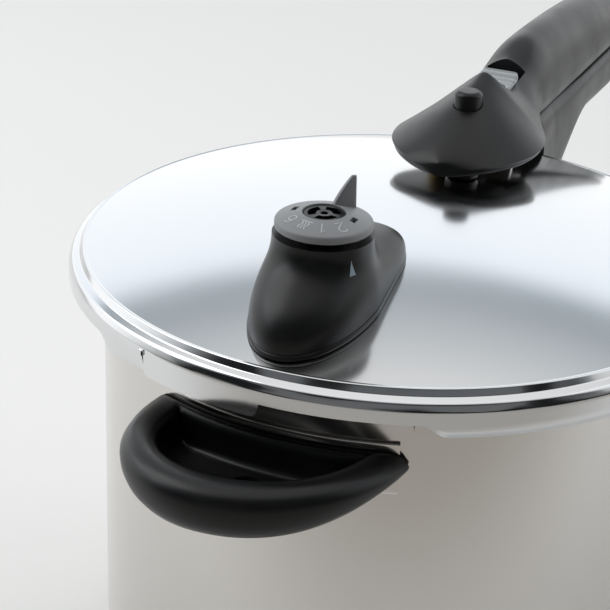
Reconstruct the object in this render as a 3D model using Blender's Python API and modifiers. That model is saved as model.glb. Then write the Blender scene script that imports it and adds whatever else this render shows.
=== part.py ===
"""Stovetop pressure cooker with a bayonet lid, a selector valve and two phenolic handles.

Frame: metres, +Z up, origin on the pot's axis in the plane it stands on, +X towards the long handle.
The lid is shown locked. It turns about +Z, and what stands on it turns with it.
"""

import math

import bmesh
import bpy

MM = 0.001
GAP = 0.3 * MM  # left between neighbours that touch
TAU = 2 * math.pi

# Pot
POT_INNER_RADIUS = 110 * MM
POT_DEPTH = 160 * MM
SHEET = 1.0 * MM
FLOOR_CORNER = 14 * MM
BASE_RADIUS = 92 * MM
BASE_CORE = 4.6 * MM
BASE_CAP_SHEET = 0.8 * MM
FLANGE_REACH = 6 * MM  # past the pot's outer wall, between the lugs
LUG_REACH = 10 * MM
LUG_DROP = 6.5 * MM
LUG_COUNT = 6
LUG_HALF_ANGLE = 8.0
ROUND_STEPS = 48

# Lid
EDGE_REACH = 6.5 * MM  # from the pot's outer wall to the crease around the dome
SKIRT_REACH = 13 * MM
RIM_RISE = 8.7 * MM  # of that crease over the flange
DOME_RISE = 12 * MM
SKIRT_SHORT = 11.5 * MM  # below the crease
TAB_SPACE = 0.3 * MM  # between a lug and the tab that holds it
TAB_REACH = 6.2 * MM
DEEP_START = 25.8  # degrees from +X, repeated every sixth of a turn
DEEP_TAB_END = 36.5
DEEP_END = 59.6

# Gasket
GASKET_WIDTH = 9.5 * MM
GASKET_LIP = 1.6 * MM

# Selector and steam valve, measured from the dial's axis and from the lid's crease
DIAL_INSET = 46.5 * MM  # from the skirt to the dial's axis
DIAL_RADIUS = 16.5 * MM
DIAL_EDGE = 2.6 * MM
DIAL_CONE = 2.6 * MM
DIAL_BORE = 7.3 * MM
DIAL_HEIGHT = 34.6 * MM
FIN_HEIGHT = 10 * MM
FIN_WIDTH = 3.2 * MM
FIN_LENGTH = 9.1 * MM
FIN_FOOT = (7.85 * MM, -0.5 * MM)  # from the dial's axis
FIN_TURN = -45.7  # degrees from +X
SLOT_RADIUS = 10.6 * MM
SLOT_LENGTH = 3.5 * MM
SLOT_WIDTH = 2.0 * MM
HUB_RADIUS = 6.9 * MM
HUB_BORE = 1.25 * MM
HUB_OPENING_INNER = 2.8 * MM
HUB_OPENING_OUTER = 5.6 * MM
HUB_SPOKE_ANGLE = 28.0
HUB_SPOKES = 3
TURRET_RADIUS = 17.2 * MM
TURRET_BORE = 13 * MM
HOUSING_NOSE = 36.5 * MM
HOUSING_TAIL = 47.5 * MM
HOUSING_HALF_WIDTH = 20 * MM
HOUSING_TAIL_WIDTH = 14.2 * MM
HOUSING_NOSE_ROUND = 22 * MM
HOUSING_WALL = 2.2 * MM
BASE_PLATE = 2.0 * MM
BASE_LIP = 0.7 * MM
STEM_RADIUS = 5.0 * MM
STEM_BORE = 2.2 * MM
STEM_FLANGE = 8.5 * MM
STEM_TOP = 14.0 * MM
NUT_RADIUS = 9.0 * MM
NUT_THICKNESS = 6.0 * MM
SEAL_THICKNESS = 2.0 * MM
PLUNGER_RADIUS = 4.0 * MM
PLUNGER_TOP = 20.0 * MM
PLUNGER_STEM = 1.1 * MM
CAM_RADIUS = 9.5 * MM
CAM_WALL = 2.2 * MM
CAM_BOTTOM = 15.5 * MM
CAM_ROOF = 27.0 * MM
CAM_TOP = 31.5 * MM

# Pressure indicator and safety valve, measured from the skirt and from the lid's crease
INDICATOR_INSET = 57 * MM
INDICATOR_STEM = 2.5 * MM
INDICATOR_BUTTON = 5.6 * MM
INDICATOR_BOTTOM = 32.0 * MM
INDICATOR_TOP = 40.0 * MM
INDICATOR_RISE = 4.0 * MM
SAFETY_INSET = 46 * MM
SAFETY_SIDE = 13 * MM
SAFETY_RADIUS = 5.0 * MM
SAFETY_THREAD = 3.5 * MM
SAFETY_TOP = 20.0 * MM

# Lid handle, stations measured from the skirt (outwards positive) and from the crease
HANDLE_UNDERSIDE = 14.5 * MM
HANDLE_LENGTH = 176 * MM
HANDLE_NOSE = 89 * MM
HANDLE_HUB = 52 * MM
HUB_HALF_WIDTH = 30.3 * MM
GRIP_HALF_WIDTH = 15 * MM
GRIP_TOP = 45 * MM
PEAK_INSET = 38 * MM
PEAK_HEIGHT = 42.5 * MM
THUMB_INSET = 26 * MM
THUMB_RADIUS = 12.5 * MM
THUMB_FLOOR = 33 * MM
SLIDE_LENGTH = 18 * MM
SLIDE_HALF_WIDTH = 8 * MM
SLIDE_BOTTOM = 27 * MM
SLIDE_TOP = 39.5 * MM
SLIDE_TRAVEL = 8 * MM
LINK_HALF_WIDTH = 1.5 * MM
LINK_BOTTOM = 20 * MM
LINK_TOP = 30 * MM
LINK_END = 28 * MM
LINK_ROOT = 2 * MM  # of the link behind the slide's middle
BOLT_REACH = 16 * MM  # from the skirt to the bolt
BOLT_HALF_LENGTH = 3 * MM
BOLT_HALF_WIDTH = 4 * MM
BOLT_TIP = 9.5 * MM
BOLT_TOP = 32.0 * MM
BOLT_TRAVEL = 5 * MM
BOLT_PIN_RADIUS = 1.5 * MM
BOLT_PIN_HEIGHT = 22.5 * MM
BOLT_SPRING_TOP = 41 * MM
POCKET_ROOF = 24 * MM
POCKET_HALF_WIDTH = 18.5 * MM
POCKET_NOSE = 64 * MM  # from the skirt inwards
POCKET_NOSE_WIDTH = 8 * MM
POCKET_START = 54 * MM  # from the skirt inwards
POCKET_END = 32 * MM
BRACKET_WIDTH = 22 * MM
BRACKET_REACH = 38 * MM  # from the skirt inwards
BRACKET_RISER = 24 * MM
BRACKET_END = 5 * MM  # past the skirt
SPACER_INSET = 73 * MM
SPACER_SIDE = 5 * MM
SPACER_RADIUS = 6.5 * MM
LID_SCREW_SIDE = 6 * MM
BRACKET_SHEET = 2.0 * MM
BRACKET_ARM = 16.5 * MM

# Pot handle
ROOT_TOP = 19 * MM  # below the crease
ROOT_BOTTOM = 45 * MM
ROOT_HALF_WIDTH = 17 * MM
LOWER_GRIP_TOP = 13.9 * MM
LOWER_GRIP_BOTTOM = 7 * MM  # below the crease
GUARD_SHEET = 1.0 * MM
ARM_SHEET = 3.0 * MM
ARM_HALF_WIDTH = 8 * MM
ARM_LENGTH = 30 * MM
SCREW_RADIUS = 2.5 * MM
SCREW_HEAD = 4.5 * MM
KEEPER_DEPTH = 6 * MM
KEEPER_SWING = 1.5 * MM  # room towards the pot, where the bolt swings out
HANG_HOLE = 5 * MM
HANG_INSET = 14 * MM
ARM_RISE = 14 * MM  # of the arm over the root's underside
ARM_SCREW_INSET = 9 * MM
ARM_HEAD_DROP = 6 * MM  # of the screw's head under the arm

# Helper handle
HELPER_TOP = 27 * MM  # below the crease
HELPER_THICKNESS = 18 * MM
HELPER_HALF_WIDTH = 47 * MM
HELPER_REACH = 46 * MM
HELPER_SKEW = 6 * MM  # the outer edge leans to the +Y side
HELPER_RIM = 14 * MM
HELPER_WELL = 12.5 * MM
HELPER_PLATE_ANGLE = 23.0
HELPER_AZIMUTH = 178.6  # degrees from +X
HELPER_SCREW_REACH = 16 * MM  # from the pot's wall

# Heights and radii that follow
POT_RADIUS = POT_INNER_RADIUS + SHEET
CORE_BOTTOM = BASE_CAP_SHEET + GAP
FLOOR_BOTTOM = CORE_BOTTOM + BASE_CORE + GAP
FLOOR_TOP = FLOOR_BOTTOM + SHEET
FLANGE_TOP = FLOOR_TOP + POT_DEPTH
LUG_BOTTOM = FLANGE_TOP - LUG_DROP
CREASE = FLANGE_TOP + RIM_RISE
EDGE_RADIUS = POT_RADIUS + EDGE_REACH
SKIRT_RADIUS = POT_RADIUS + SKIRT_REACH
SKIRT_BOTTOM = LUG_BOTTOM - TAB_SPACE - SHEET
DIAL_X = DIAL_INSET - SKIRT_RADIUS
INDICATOR_X = SKIRT_RADIUS - INDICATOR_INSET
SAFETY_X = SKIRT_RADIUS - SAFETY_INSET
BOLT_X = SKIRT_RADIUS + BOLT_REACH
SLIDE_X = SKIRT_RADIUS - THUMB_INSET
GRIP_END = SKIRT_RADIUS + HANDLE_LENGTH


def clear_scene():
    """Remove every object, so that the model starts from nothing."""
    for thing in list(bpy.data.objects):
        bpy.data.objects.remove(thing, do_unlink=True)


def new_collection(name):
    group = bpy.data.collections.new(name)
    bpy.context.scene.collection.children.link(group)
    return group


def new_material(name, colour, roughness, metallic=0.0):
    surface = bpy.data.materials.new(name)
    surface.use_nodes = True
    shader = surface.node_tree.nodes["Principled BSDF"]
    shader.inputs["Base Color"].default_value = (*colour, 1.0)
    shader.inputs["Roughness"].default_value = roughness
    shader.inputs["Metallic"].default_value = metallic
    surface.diffuse_color = (*colour, 1.0)
    return surface


clear_scene()
PARTS = new_collection("pressure_cooker")
CUTTERS = new_collection("cutters")
STEEL = new_material("polished_steel", (0.60, 0.60, 0.60), 0.10, 1.0)
SATIN = new_material("brushed_steel", (0.50, 0.50, 0.50), 0.30, 1.0)
ALUMINIUM = new_material("aluminium", (0.62, 0.63, 0.64), 0.35, 1.0)
BRASS = new_material("brass", (0.60, 0.45, 0.20), 0.30, 1.0)
PHENOLIC = new_material("black_phenolic", (0.012, 0.012, 0.014), 0.42)
GREY = new_material("grey_plastic", (0.24, 0.25, 0.26), 0.45)
LIGHT = new_material("light_grey_plastic", (0.45, 0.47, 0.48), 0.45)
SILICONE = new_material("silicone", (0.30, 0.31, 0.33), 0.60)


def place(thing, surface, parent=None):
    """Put a part in the parts' collection with its material and parent."""
    PARTS.objects.link(thing)
    thing.data.materials.clear()
    thing.data.materials.append(surface)
    if parent is not None:
        thing.parent = parent
    return thing


def empty(name, position, parent=None):
    """An empty on a joint's axis, which carries the pieces that move about it."""
    axis = bpy.data.objects.new(name, None)
    PARTS.objects.link(axis)
    axis.location = position
    if parent is not None:
        axis.parent = parent
        axis.matrix_parent_inverse = parent.matrix_basis.inverted()
    return axis


def from_bmesh(name, shape, surface, parent=None, smooth_angle=35.0):
    """Turn a bmesh in world coordinates into a part, under a parent if it has one."""
    shape.normal_update()
    bmesh.ops.recalc_face_normals(shape, faces=shape.faces)
    mesh = bpy.data.meshes.new(name)
    shape.to_mesh(mesh)
    shape.free()
    mesh.shade_smooth()
    mesh.set_sharp_from_angle(angle=math.radians(smooth_angle))
    thing = place(bpy.data.objects.new(name, mesh), surface)
    hang(thing, parent)
    return thing


def hang(thing, parent):
    """Give a part built in world coordinates its parent's place as its origin."""
    if parent is None:
        return
    thing.parent = parent
    thing.matrix_parent_inverse = parent.matrix_world.inverted()
    shift = parent.matrix_world.translation
    thing.location = shift
    for vertex in thing.data.vertices:
        vertex.co -= shift


def turned(name, profile, surface, centre=(0.0, 0.0), steps=32, parent=None, closed=False, wall=0.0):
    """Spin a profile of (radius, height) about a vertical axis through centre."""
    mesh = bpy.data.meshes.new(name)
    edges = [(i, i + 1) for i in range(len(profile) - 1)]
    if closed:
        edges.append((len(profile) - 1, 0))
    mesh.from_pydata([(radius, 0.0, height) for radius, height in profile], edges, [])
    thing = place(bpy.data.objects.new(name, mesh), surface)
    thing.location = (centre[0], centre[1], 0.0)
    if parent is not None:
        thing.parent = parent
        thing.matrix_parent_inverse = parent.matrix_world.inverted()
    spin = thing.modifiers.new("spin", "SCREW")
    spin.axis = "Z"
    spin.steps = steps
    spin.render_steps = steps
    spin.use_merge_vertices = True
    spin.merge_threshold = 0.00001
    spin.use_smooth_shade = True
    if wall:
        shell = thing.modifiers.new("wall", "SOLIDIFY")
        shell.thickness = wall
        shell.offset = -1.0
        shell.use_even_offset = True
    return thing


def ring(inner, outer, bottom, top):
    """Closed section of a plain ring, running down its outer side."""
    return [(outer, top), (outer, bottom), (inner, bottom), (inner, top)]


def rod(outer, bottom, top):
    """Section of a plain rod, from its top centre to its bottom centre."""
    return [(0.0, top), (outer, top), (outer, bottom), (0.0, bottom)]


def cutter(name, shape):
    """A wire-shown tool that only cuts."""
    shape.normal_update()
    bmesh.ops.recalc_face_normals(shape, faces=shape.faces)
    mesh = bpy.data.meshes.new(name)
    shape.to_mesh(mesh)
    shape.free()
    tool = bpy.data.objects.new(name, mesh)
    CUTTERS.objects.link(tool)
    tool.hide_render = True
    tool.display_type = "WIRE"
    return tool


def cut(thing, tool, operation="DIFFERENCE"):
    boolean = thing.modifiers.new(tool.name, "BOOLEAN")
    boolean.operation = operation
    boolean.solver = "EXACT"
    boolean.object = tool


def box_shape(low, high):
    """A box between two corners."""
    shape = bmesh.new()
    bmesh.ops.create_cube(shape, size=1.0)
    for vertex in shape.verts:
        for axis in range(3):
            middle = (low[axis] + high[axis]) / 2
            vertex.co[axis] = middle + vertex.co[axis] * (high[axis] - low[axis])
    return shape


def rod_shape(centre, radius, bottom, top, segments=24, axis="Z"):
    """A cylinder between two heights along Z, or between two places along Y."""
    shape = bmesh.new()
    bmesh.ops.create_cone(shape, cap_ends=True, segments=segments, radius1=radius, radius2=radius, depth=1.0)
    for vertex in shape.verts:
        along = bottom + (vertex.co.z + 0.5) * (top - bottom)
        if axis == "Z":
            vertex.co = (centre[0] + vertex.co.x, centre[1] + vertex.co.y, along)
        else:
            vertex.co = (centre[0] + vertex.co.x, along, centre[1] + vertex.co.y)
    return shape


def loft_shape(loops, closed=False):
    """Skin over loops of points of equal count; open ends are capped."""
    shape = bmesh.new()
    rows = [[shape.verts.new(point) for point in loop] for loop in loops]
    count = len(rows[0])
    pairs = list(zip(rows, rows[1:]))
    if closed:
        pairs.append((rows[-1], rows[0]))
    for lower, upper in pairs:
        for i in range(count):
            j = (i + 1) % count
            shape.faces.new((lower[i], lower[j], upper[j], upper[i]))
    if not closed:
        shape.faces.new(rows[0])
        shape.faces.new(rows[-1])
    return shape


def sector_shape(inner, outer, bottom, top, start, end, steps=6):
    """A block between two radii and two angles in degrees."""
    loops = []
    for i in range(steps + 1):
        angle = math.radians(start + (end - start) * i / steps)
        c, s = math.cos(angle), math.sin(angle)
        section = ((inner, bottom), (outer, bottom), (outer, top), (inner, top))
        loops.append([(r * c, r * s, z) for r, z in section])
    return loft_shape(loops)


def extruded_shape(outline, low, high, axis="Y"):
    """An outline pushed along Y (points are x, z) or along Z (points are x, y)."""
    if axis == "Y":
        return loft_shape([[(x, along, z) for x, z in outline] for along in (low, high)])
    return loft_shape([[(x, y, along) for x, y in outline] for along in (low, high)])


def dome(x, y=0.0):
    """Height of the lid's outer surface, a shallow bowl turned upside down."""
    share = math.hypot(x, y) / EDGE_RADIUS
    return CREASE + DOME_RISE * (1.0 - share * share)


def settle(shape, clearance, from_below=False):
    """Move the vertices of one end of a shape onto the dome, that far over or under it."""
    heights = [vertex.co.z for vertex in shape.verts]
    middle = (min(heights) + max(heights)) / 2
    for vertex in shape.verts:
        if from_below and vertex.co.z > middle:
            vertex.co.z = dome(vertex.co.x, vertex.co.y) - SHEET - clearance
        if not from_below and vertex.co.z < middle:
            vertex.co.z = dome(vertex.co.x, vertex.co.y) + clearance


def coil(name, centre, radius, wire, bottom, top, turns, surface, parent):
    """A compression spring: a helix of constant radius as a thick curve."""
    per_turn = 10
    count = turns * per_turn + 1
    curve = bpy.data.curves.new(name, "CURVE")
    curve.dimensions = "3D"
    curve.bevel_depth = wire
    curve.bevel_resolution = 1
    curve.use_fill_caps = True
    line = curve.splines.new("POLY")
    line.points.add(count - 1)
    for i in range(count):
        angle = TAU * i / per_turn
        height = bottom + wire + (top - bottom - 2 * wire) * i / (count - 1)
        x = centre[0] + radius * math.cos(angle)
        y = centre[1] + radius * math.sin(angle)
        line.points[i].co = (x, y, height, 1.0)
    return mesh_from_curve(name, curve, surface, parent)


def mesh_from_curve(name, curve, surface, parent):
    """Make a curve a mesh with its caps welded."""
    guide = bpy.data.objects.new(name + "_guide", curve)
    bpy.context.scene.collection.objects.link(guide)
    evaluated = guide.evaluated_get(bpy.context.evaluated_depsgraph_get())
    mesh = bpy.data.meshes.new_from_object(evaluated)
    shape = bmesh.new()
    shape.from_mesh(mesh)
    bmesh.ops.remove_doubles(shape, verts=shape.verts, dist=0.00001)
    bpy.data.objects.remove(guide, do_unlink=True)
    bpy.data.meshes.remove(mesh)
    return from_bmesh(name, shape, surface, parent)


# Pot ---------------------------------------------------------------------------------------------

def arc(centre, radius, start, end, steps):
    """Points of a round stretch of a profile, angles in degrees from the outward direction."""
    points = []
    for i in range(steps + 1):
        angle = math.radians(start + (end - start) * i / steps)
        points.append((centre[0] + radius * math.cos(angle), centre[1] + radius * math.sin(angle)))
    return points


def build_pot():
    """The drawn pot: its inside and the top of its rim are the profile, the wall lies behind it."""
    lug_radius = POT_RADIUS + LUG_REACH
    corner = (POT_INNER_RADIUS - FLOOR_CORNER, FLOOR_TOP + FLOOR_CORNER)
    profile = [(0.0, FLOOR_TOP)]
    profile += arc(corner, FLOOR_CORNER, -90, 0, 4)
    profile += arc((POT_INNER_RADIUS + 2 * SHEET, FLANGE_TOP - 2 * SHEET), 2 * SHEET, 180, 90, 2)
    profile += arc((lug_radius - 2 * SHEET, FLANGE_TOP - 2 * SHEET), 2 * SHEET, 90, 0, 2)
    profile.append((lug_radius, LUG_BOTTOM))
    pot = turned("pot_body", profile, STEEL, steps=ROUND_STEPS, wall=SHEET)
    tab_middle = (DEEP_START + DEEP_TAB_END) / 2
    pitch = 360.0 / LUG_COUNT
    for i in range(LUG_COUNT):
        start = tab_middle + LUG_HALF_ANGLE + i * pitch
        end = start + pitch - 2 * LUG_HALF_ANGLE
        inner = POT_RADIUS + FLANGE_REACH
        shape = sector_shape(inner, lug_radius + SHEET, LUG_BOTTOM - SHEET, FLANGE_TOP + SHEET, start, end, 8)
        cut(pot, cutter("lug_gap_%d" % (i + 1), shape))


def build_base():
    """The sandwich base: an aluminium disc inside a steel cap that holds it from below and around."""
    core = rod(BASE_RADIUS, CORE_BOTTOM, CORE_BOTTOM + BASE_CORE)
    turned("base_core", core, ALUMINIUM, steps=ROUND_STEPS)
    inner = BASE_RADIUS + GAP
    outer = inner + BASE_CAP_SHEET
    top = CORE_BOTTOM + BASE_CORE
    bevel = 1.5 * MM
    cap = [(0.0, BASE_CAP_SHEET), (inner, BASE_CAP_SHEET), (inner, top), (outer, top), (outer, bevel)]
    cap += [(outer - bevel, 0.0), (0.0, 0.0)]
    turned("base_cap", cap, SATIN, steps=ROUND_STEPS)


# Lid ---------------------------------------------------------------------------------------------

def lid_profile():
    """Outer side of the lid: dome, bead, rolled shoulder, skirt and the edge folded in below."""
    rings = 7
    profile = []
    for i in range(rings + 1):
        radius = EDGE_RADIUS * i / rings
        profile.append((radius, dome(radius)))
    bead = SKIRT_RADIUS - 4 * MM
    profile.append((EDGE_RADIUS + 1.3 * MM, CREASE + 0.2 * MM))
    profile.append((bead, CREASE - 2.4 * MM))
    profile.append((SKIRT_RADIUS - 1.1 * MM, CREASE - 4.0 * MM))
    profile.append((SKIRT_RADIUS, CREASE - 6.5 * MM))
    profile.append((SKIRT_RADIUS, SKIRT_BOTTOM + SHEET))
    profile.append((SKIRT_RADIUS - SHEET, SKIRT_BOTTOM))
    profile.append((SKIRT_RADIUS - TAB_REACH, SKIRT_BOTTOM))
    return profile


def build_lid_shell(parent):
    lid = turned("lid_shell", lid_profile(), STEEL, steps=ROUND_STEPS, parent=parent, wall=SHEET)
    pitch = 360.0 / LUG_COUNT
    below = SKIRT_BOTTOM - SHEET
    outside = SKIRT_RADIUS + SHEET
    for i in range(LUG_COUNT):
        turn = i * pitch
        top = CREASE - SKIRT_SHORT
        end = DEEP_START + pitch + turn
        gap = sector_shape(POT_RADIUS + SHEET, outside, below, top, DEEP_END + turn, end)
        cut(lid, cutter("skirt_gap_%d" % (i + 1), gap))
        inside = SKIRT_RADIUS - SHEET
        top = SKIRT_BOTTOM + 1.5 * SHEET
        fold = sector_shape(POT_RADIUS + SHEET, inside, below, top, DEEP_TAB_END + turn, DEEP_END + 1 + turn)
        cut(lid, cutter("fold_gap_%d" % (i + 1), fold))
    holes = (
        ("stem_hole", (DIAL_X, 0.0), STEM_RADIUS),
        ("indicator_hole", (INDICATOR_X, 0.0), INDICATOR_STEM),
        ("safety_hole", (SAFETY_X, SAFETY_SIDE), SAFETY_THREAD),
    )
    for name, centre, radius in holes:
        shape = rod_shape(centre, radius + GAP, CREASE - SHEET, CREASE + DOME_RISE + SHEET)
        cut(lid, cutter(name, shape))


def build_gasket(parent):
    """Sealing ring with two lips and a solid back, open towards the pot's axis."""
    outer = EDGE_RADIUS - 0.2 * MM
    inner = outer - GASKET_WIDTH
    back = outer - 2.5 * MM
    bottom = FLANGE_TOP + GAP
    clearance = SHEET + GAP + 0.2 * MM
    top_outer = dome(outer) - clearance
    top_inner = dome(inner) - clearance
    profile = [(inner, top_inner), (outer, top_outer), (outer, bottom), (inner, bottom)]
    profile += [(inner, bottom + GASKET_LIP), (back, bottom + GASKET_LIP)]
    profile += [(back, top_outer - GASKET_LIP), (inner, top_inner - GASKET_LIP)]
    turned("gasket", profile, SILICONE, steps=ROUND_STEPS, parent=parent, closed=True)


# Selector housing --------------------------------------------------------------------------------

def housing_outline(count, grow=0.0):
    """Plan of the housing from the dial's axis: a half ellipse at the nose and tapering sides to the tail.

    Returns (along, across) pairs, along pointing to the lid's rim.
    """
    length = (HOUSING_NOSE + HOUSING_TAIL) / 2
    middle = (HOUSING_NOSE - HOUSING_TAIL) / 2
    widest = HOUSING_NOSE - HOUSING_NOSE_ROUND
    run = widest + HOUSING_TAIL
    points = []
    for i in range(count):
        turn = TAU * (i + 0.5) / count
        along = middle + length * math.cos(turn)
        if along > widest:
            share = (along - widest) / HOUSING_NOSE_ROUND
            width = HOUSING_HALF_WIDTH * math.sqrt(max(0.0, 1.0 - share * share))
        else:
            share = (widest - along) / run
            taper = HOUSING_HALF_WIDTH - (HOUSING_HALF_WIDTH - HOUSING_TAIL_WIDTH) * share
            width = taper * math.sqrt(max(0.0, 1.0 - share**8))
        across = math.copysign(width, math.sin(turn))
        size = math.hypot(along, across)
        scale = (size + grow) / size
        points.append((along * scale, across * scale))
    return points


def bezier(a, b, c, d, t):
    s = 1.0 - t
    return a * s**3 + 3 * b * s * s * t + 3 * c * s * t * t + d * t**3


def housing_point(point, share, wall):
    """A point of the housing's skin at a share of the way from the turret's edge down to the base outline.

    The skin leaves the turret steeply on the nose's side and nearly level on the tail's side, and meets
    the base upright all round.
    """
    along, across = point
    reach = math.hypot(along, across)
    cosine = along / reach
    tail = min(1.0, max(0.0, 0.5 - 0.8 * cosine))
    tail = tail * tail * (3.0 - 2.0 * tail)
    top = CREASE + DIAL_HEIGHT - 0.5 * MM
    turret = TURRET_RADIUS if not wall else TURRET_BORE
    base = reach - wall
    foot = dome(DIAL_X - along * base / reach, across * base / reach) + GAP + BASE_PLATE + GAP
    rise = top - foot
    span = base - turret
    radius = bezier(turret, turret + 0.45 * tail * span, base, base, share)
    upper = top - (0.42 * (1.0 - tail)) * rise + 2.6 * MM * tail
    lower = foot + (0.55 - 0.05 * tail) * rise
    height = bezier(top, upper, lower, foot, share)
    if wall:
        height -= wall * (1.0 - (1.0 - 2.0 * share) ** 4)
    scale = radius / reach
    return (DIAL_X - along * scale, across * scale, height)


def build_housing(parent):
    """Hollow housing, open below and around the selector, and the thin plate it stands on."""
    count = 36
    rows = 7
    outline = housing_outline(count)
    shares = [i / rows for i in range(rows + 1)]
    loops = [[housing_point(p, share, 0.0) for p in outline] for share in reversed(shares)]
    loops += [[housing_point(p, share, HOUSING_WALL) for p in outline] for share in shares]
    from_bmesh("valve_housing", loft_shape(loops, closed=True), PHENOLIC, parent, 50.0)

    plate = base_plate_shape(housing_outline(count, BASE_LIP))
    from_bmesh("housing_base", plate, PHENOLIC, parent, 50.0)


def base_plate_shape(outline):
    """Plate that follows the dome from the stem's hole to the outline, three rings on each side."""
    hole_radius = STEM_RADIUS + GAP
    rings = 3
    inwards = [i / rings for i in range(rings + 1)]
    steps = [(share, GAP) for share in inwards]
    steps += [(share, GAP + BASE_PLATE) for share in reversed(inwards)]
    loops = []
    for share, height in steps:
        loop = []
        for along, across in outline:
            reach = math.hypot(along, across)
            scale = 1.0 + (hole_radius / reach - 1.0) * share
            x, y = DIAL_X - along * scale, across * scale
            loop.append((x, y, dome(x, y) + height))
        loops.append(loop)
    return loft_shape(loops, closed=True)


def build_steam_valve(parent):
    """Stem through the lid, the seal and nut that hold it, and the sprung plunger on its seat."""
    centre = (DIAL_X, 0.0)
    flange = rod_shape(centre, STEM_FLANGE, dome(DIAL_X), CREASE + STEM_TOP - 2 * MM, 32)
    settle(flange, GAP + BASE_PLATE + GAP)
    bottom = CREASE - NUT_THICKNESS
    bore = rod_shape(centre, STEM_BORE, bottom - MM, CREASE + STEM_TOP + MM)
    tube = rod_shape(centre, STEM_RADIUS, bottom, CREASE + STEM_TOP, 32)
    body = from_bmesh("valve_body", tube, BRASS, parent)
    cut(body, cutter("stem_flange", flange), "UNION")
    cut(body, cutter("stem_bore", bore))

    hole = STEM_RADIUS + GAP
    seal = rod_shape(centre, NUT_RADIUS, CREASE, CREASE + DOME_RISE, 32)
    settle(seal, GAP, from_below=True)
    for vertex in seal.verts:
        if vertex.co.z < CREASE + 0.01 * MM:
            vertex.co.z = dome(vertex.co.x, vertex.co.y) - SHEET - GAP - SEAL_THICKNESS
    washer = from_bmesh("valve_seal", seal, SILICONE, parent)
    cut(washer, cutter("seal_bore", rod_shape(centre, hole, CREASE - 9 * MM, CREASE + DOME_RISE)))
    hexagon = rod_shape(centre, NUT_RADIUS, CREASE - NUT_THICKNESS + 2 * MM, CREASE + DOME_RISE, 6)
    settle(hexagon, GAP + SEAL_THICKNESS + GAP, from_below=True)
    nut = from_bmesh("valve_nut", hexagon, BRASS, parent)
    cut(nut, cutter("nut_bore", rod_shape(centre, hole, CREASE - 9 * MM, CREASE + DOME_RISE)))


def build_plunger(parent):
    """Plunger with a cone in the stem's bore and a thin stem inside its spring."""
    seat = CREASE + STEM_TOP + GAP
    shoulder = CREASE + PLUNGER_TOP
    tip = STEM_BORE - 2 * GAP
    top = CREASE + CAM_ROOF
    profile = [(0.0, top), (PLUNGER_STEM, top), (PLUNGER_STEM, shoulder), (PLUNGER_RADIUS, shoulder)]
    profile += [(PLUNGER_RADIUS, seat), (tip, seat), (0.4 * tip, seat - 2.5 * MM), (0.0, seat - 2.5 * MM)]
    turned("valve_plunger", profile, BRASS, (DIAL_X, 0.0), 24, parent)
    radius = (PLUNGER_STEM + PLUNGER_RADIUS) / 2 + GAP
    coil("valve_spring", (DIAL_X, 0.0), radius, 0.35 * MM, shoulder + GAP, top - GAP, 4, STEEL, parent)


def fin_shape(low, face):
    """The lever: a thin blade from the dial's bore to its edge, upright at the edge and swept at the foot."""
    turn = math.radians(FIN_TURN)
    along = (math.cos(turn), math.sin(turn))
    half = FIN_WIDTH / 2
    levels = (
        (low, 0.0, FIN_LENGTH, half),
        (face + 0.45 * FIN_HEIGHT, 0.3 * FIN_LENGTH, FIN_LENGTH, 0.8 * half),
        (face + FIN_HEIGHT, 0.78 * FIN_LENGTH, 0.96 * FIN_LENGTH, 0.45 * half),
    )
    loops = []
    for height, start, end, side in levels:
        loop = []
        for reach, across in ((start, -side), (end, -side), (end, side), (start, side)):
            x = DIAL_X + FIN_FOOT[0] + reach * along[0] - across * along[1]
            y = FIN_FOOT[1] + reach * along[1] + across * along[0]
            loop.append((x, y, height))
        loops.append(loop)
    return loft_shape(loops)


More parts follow.
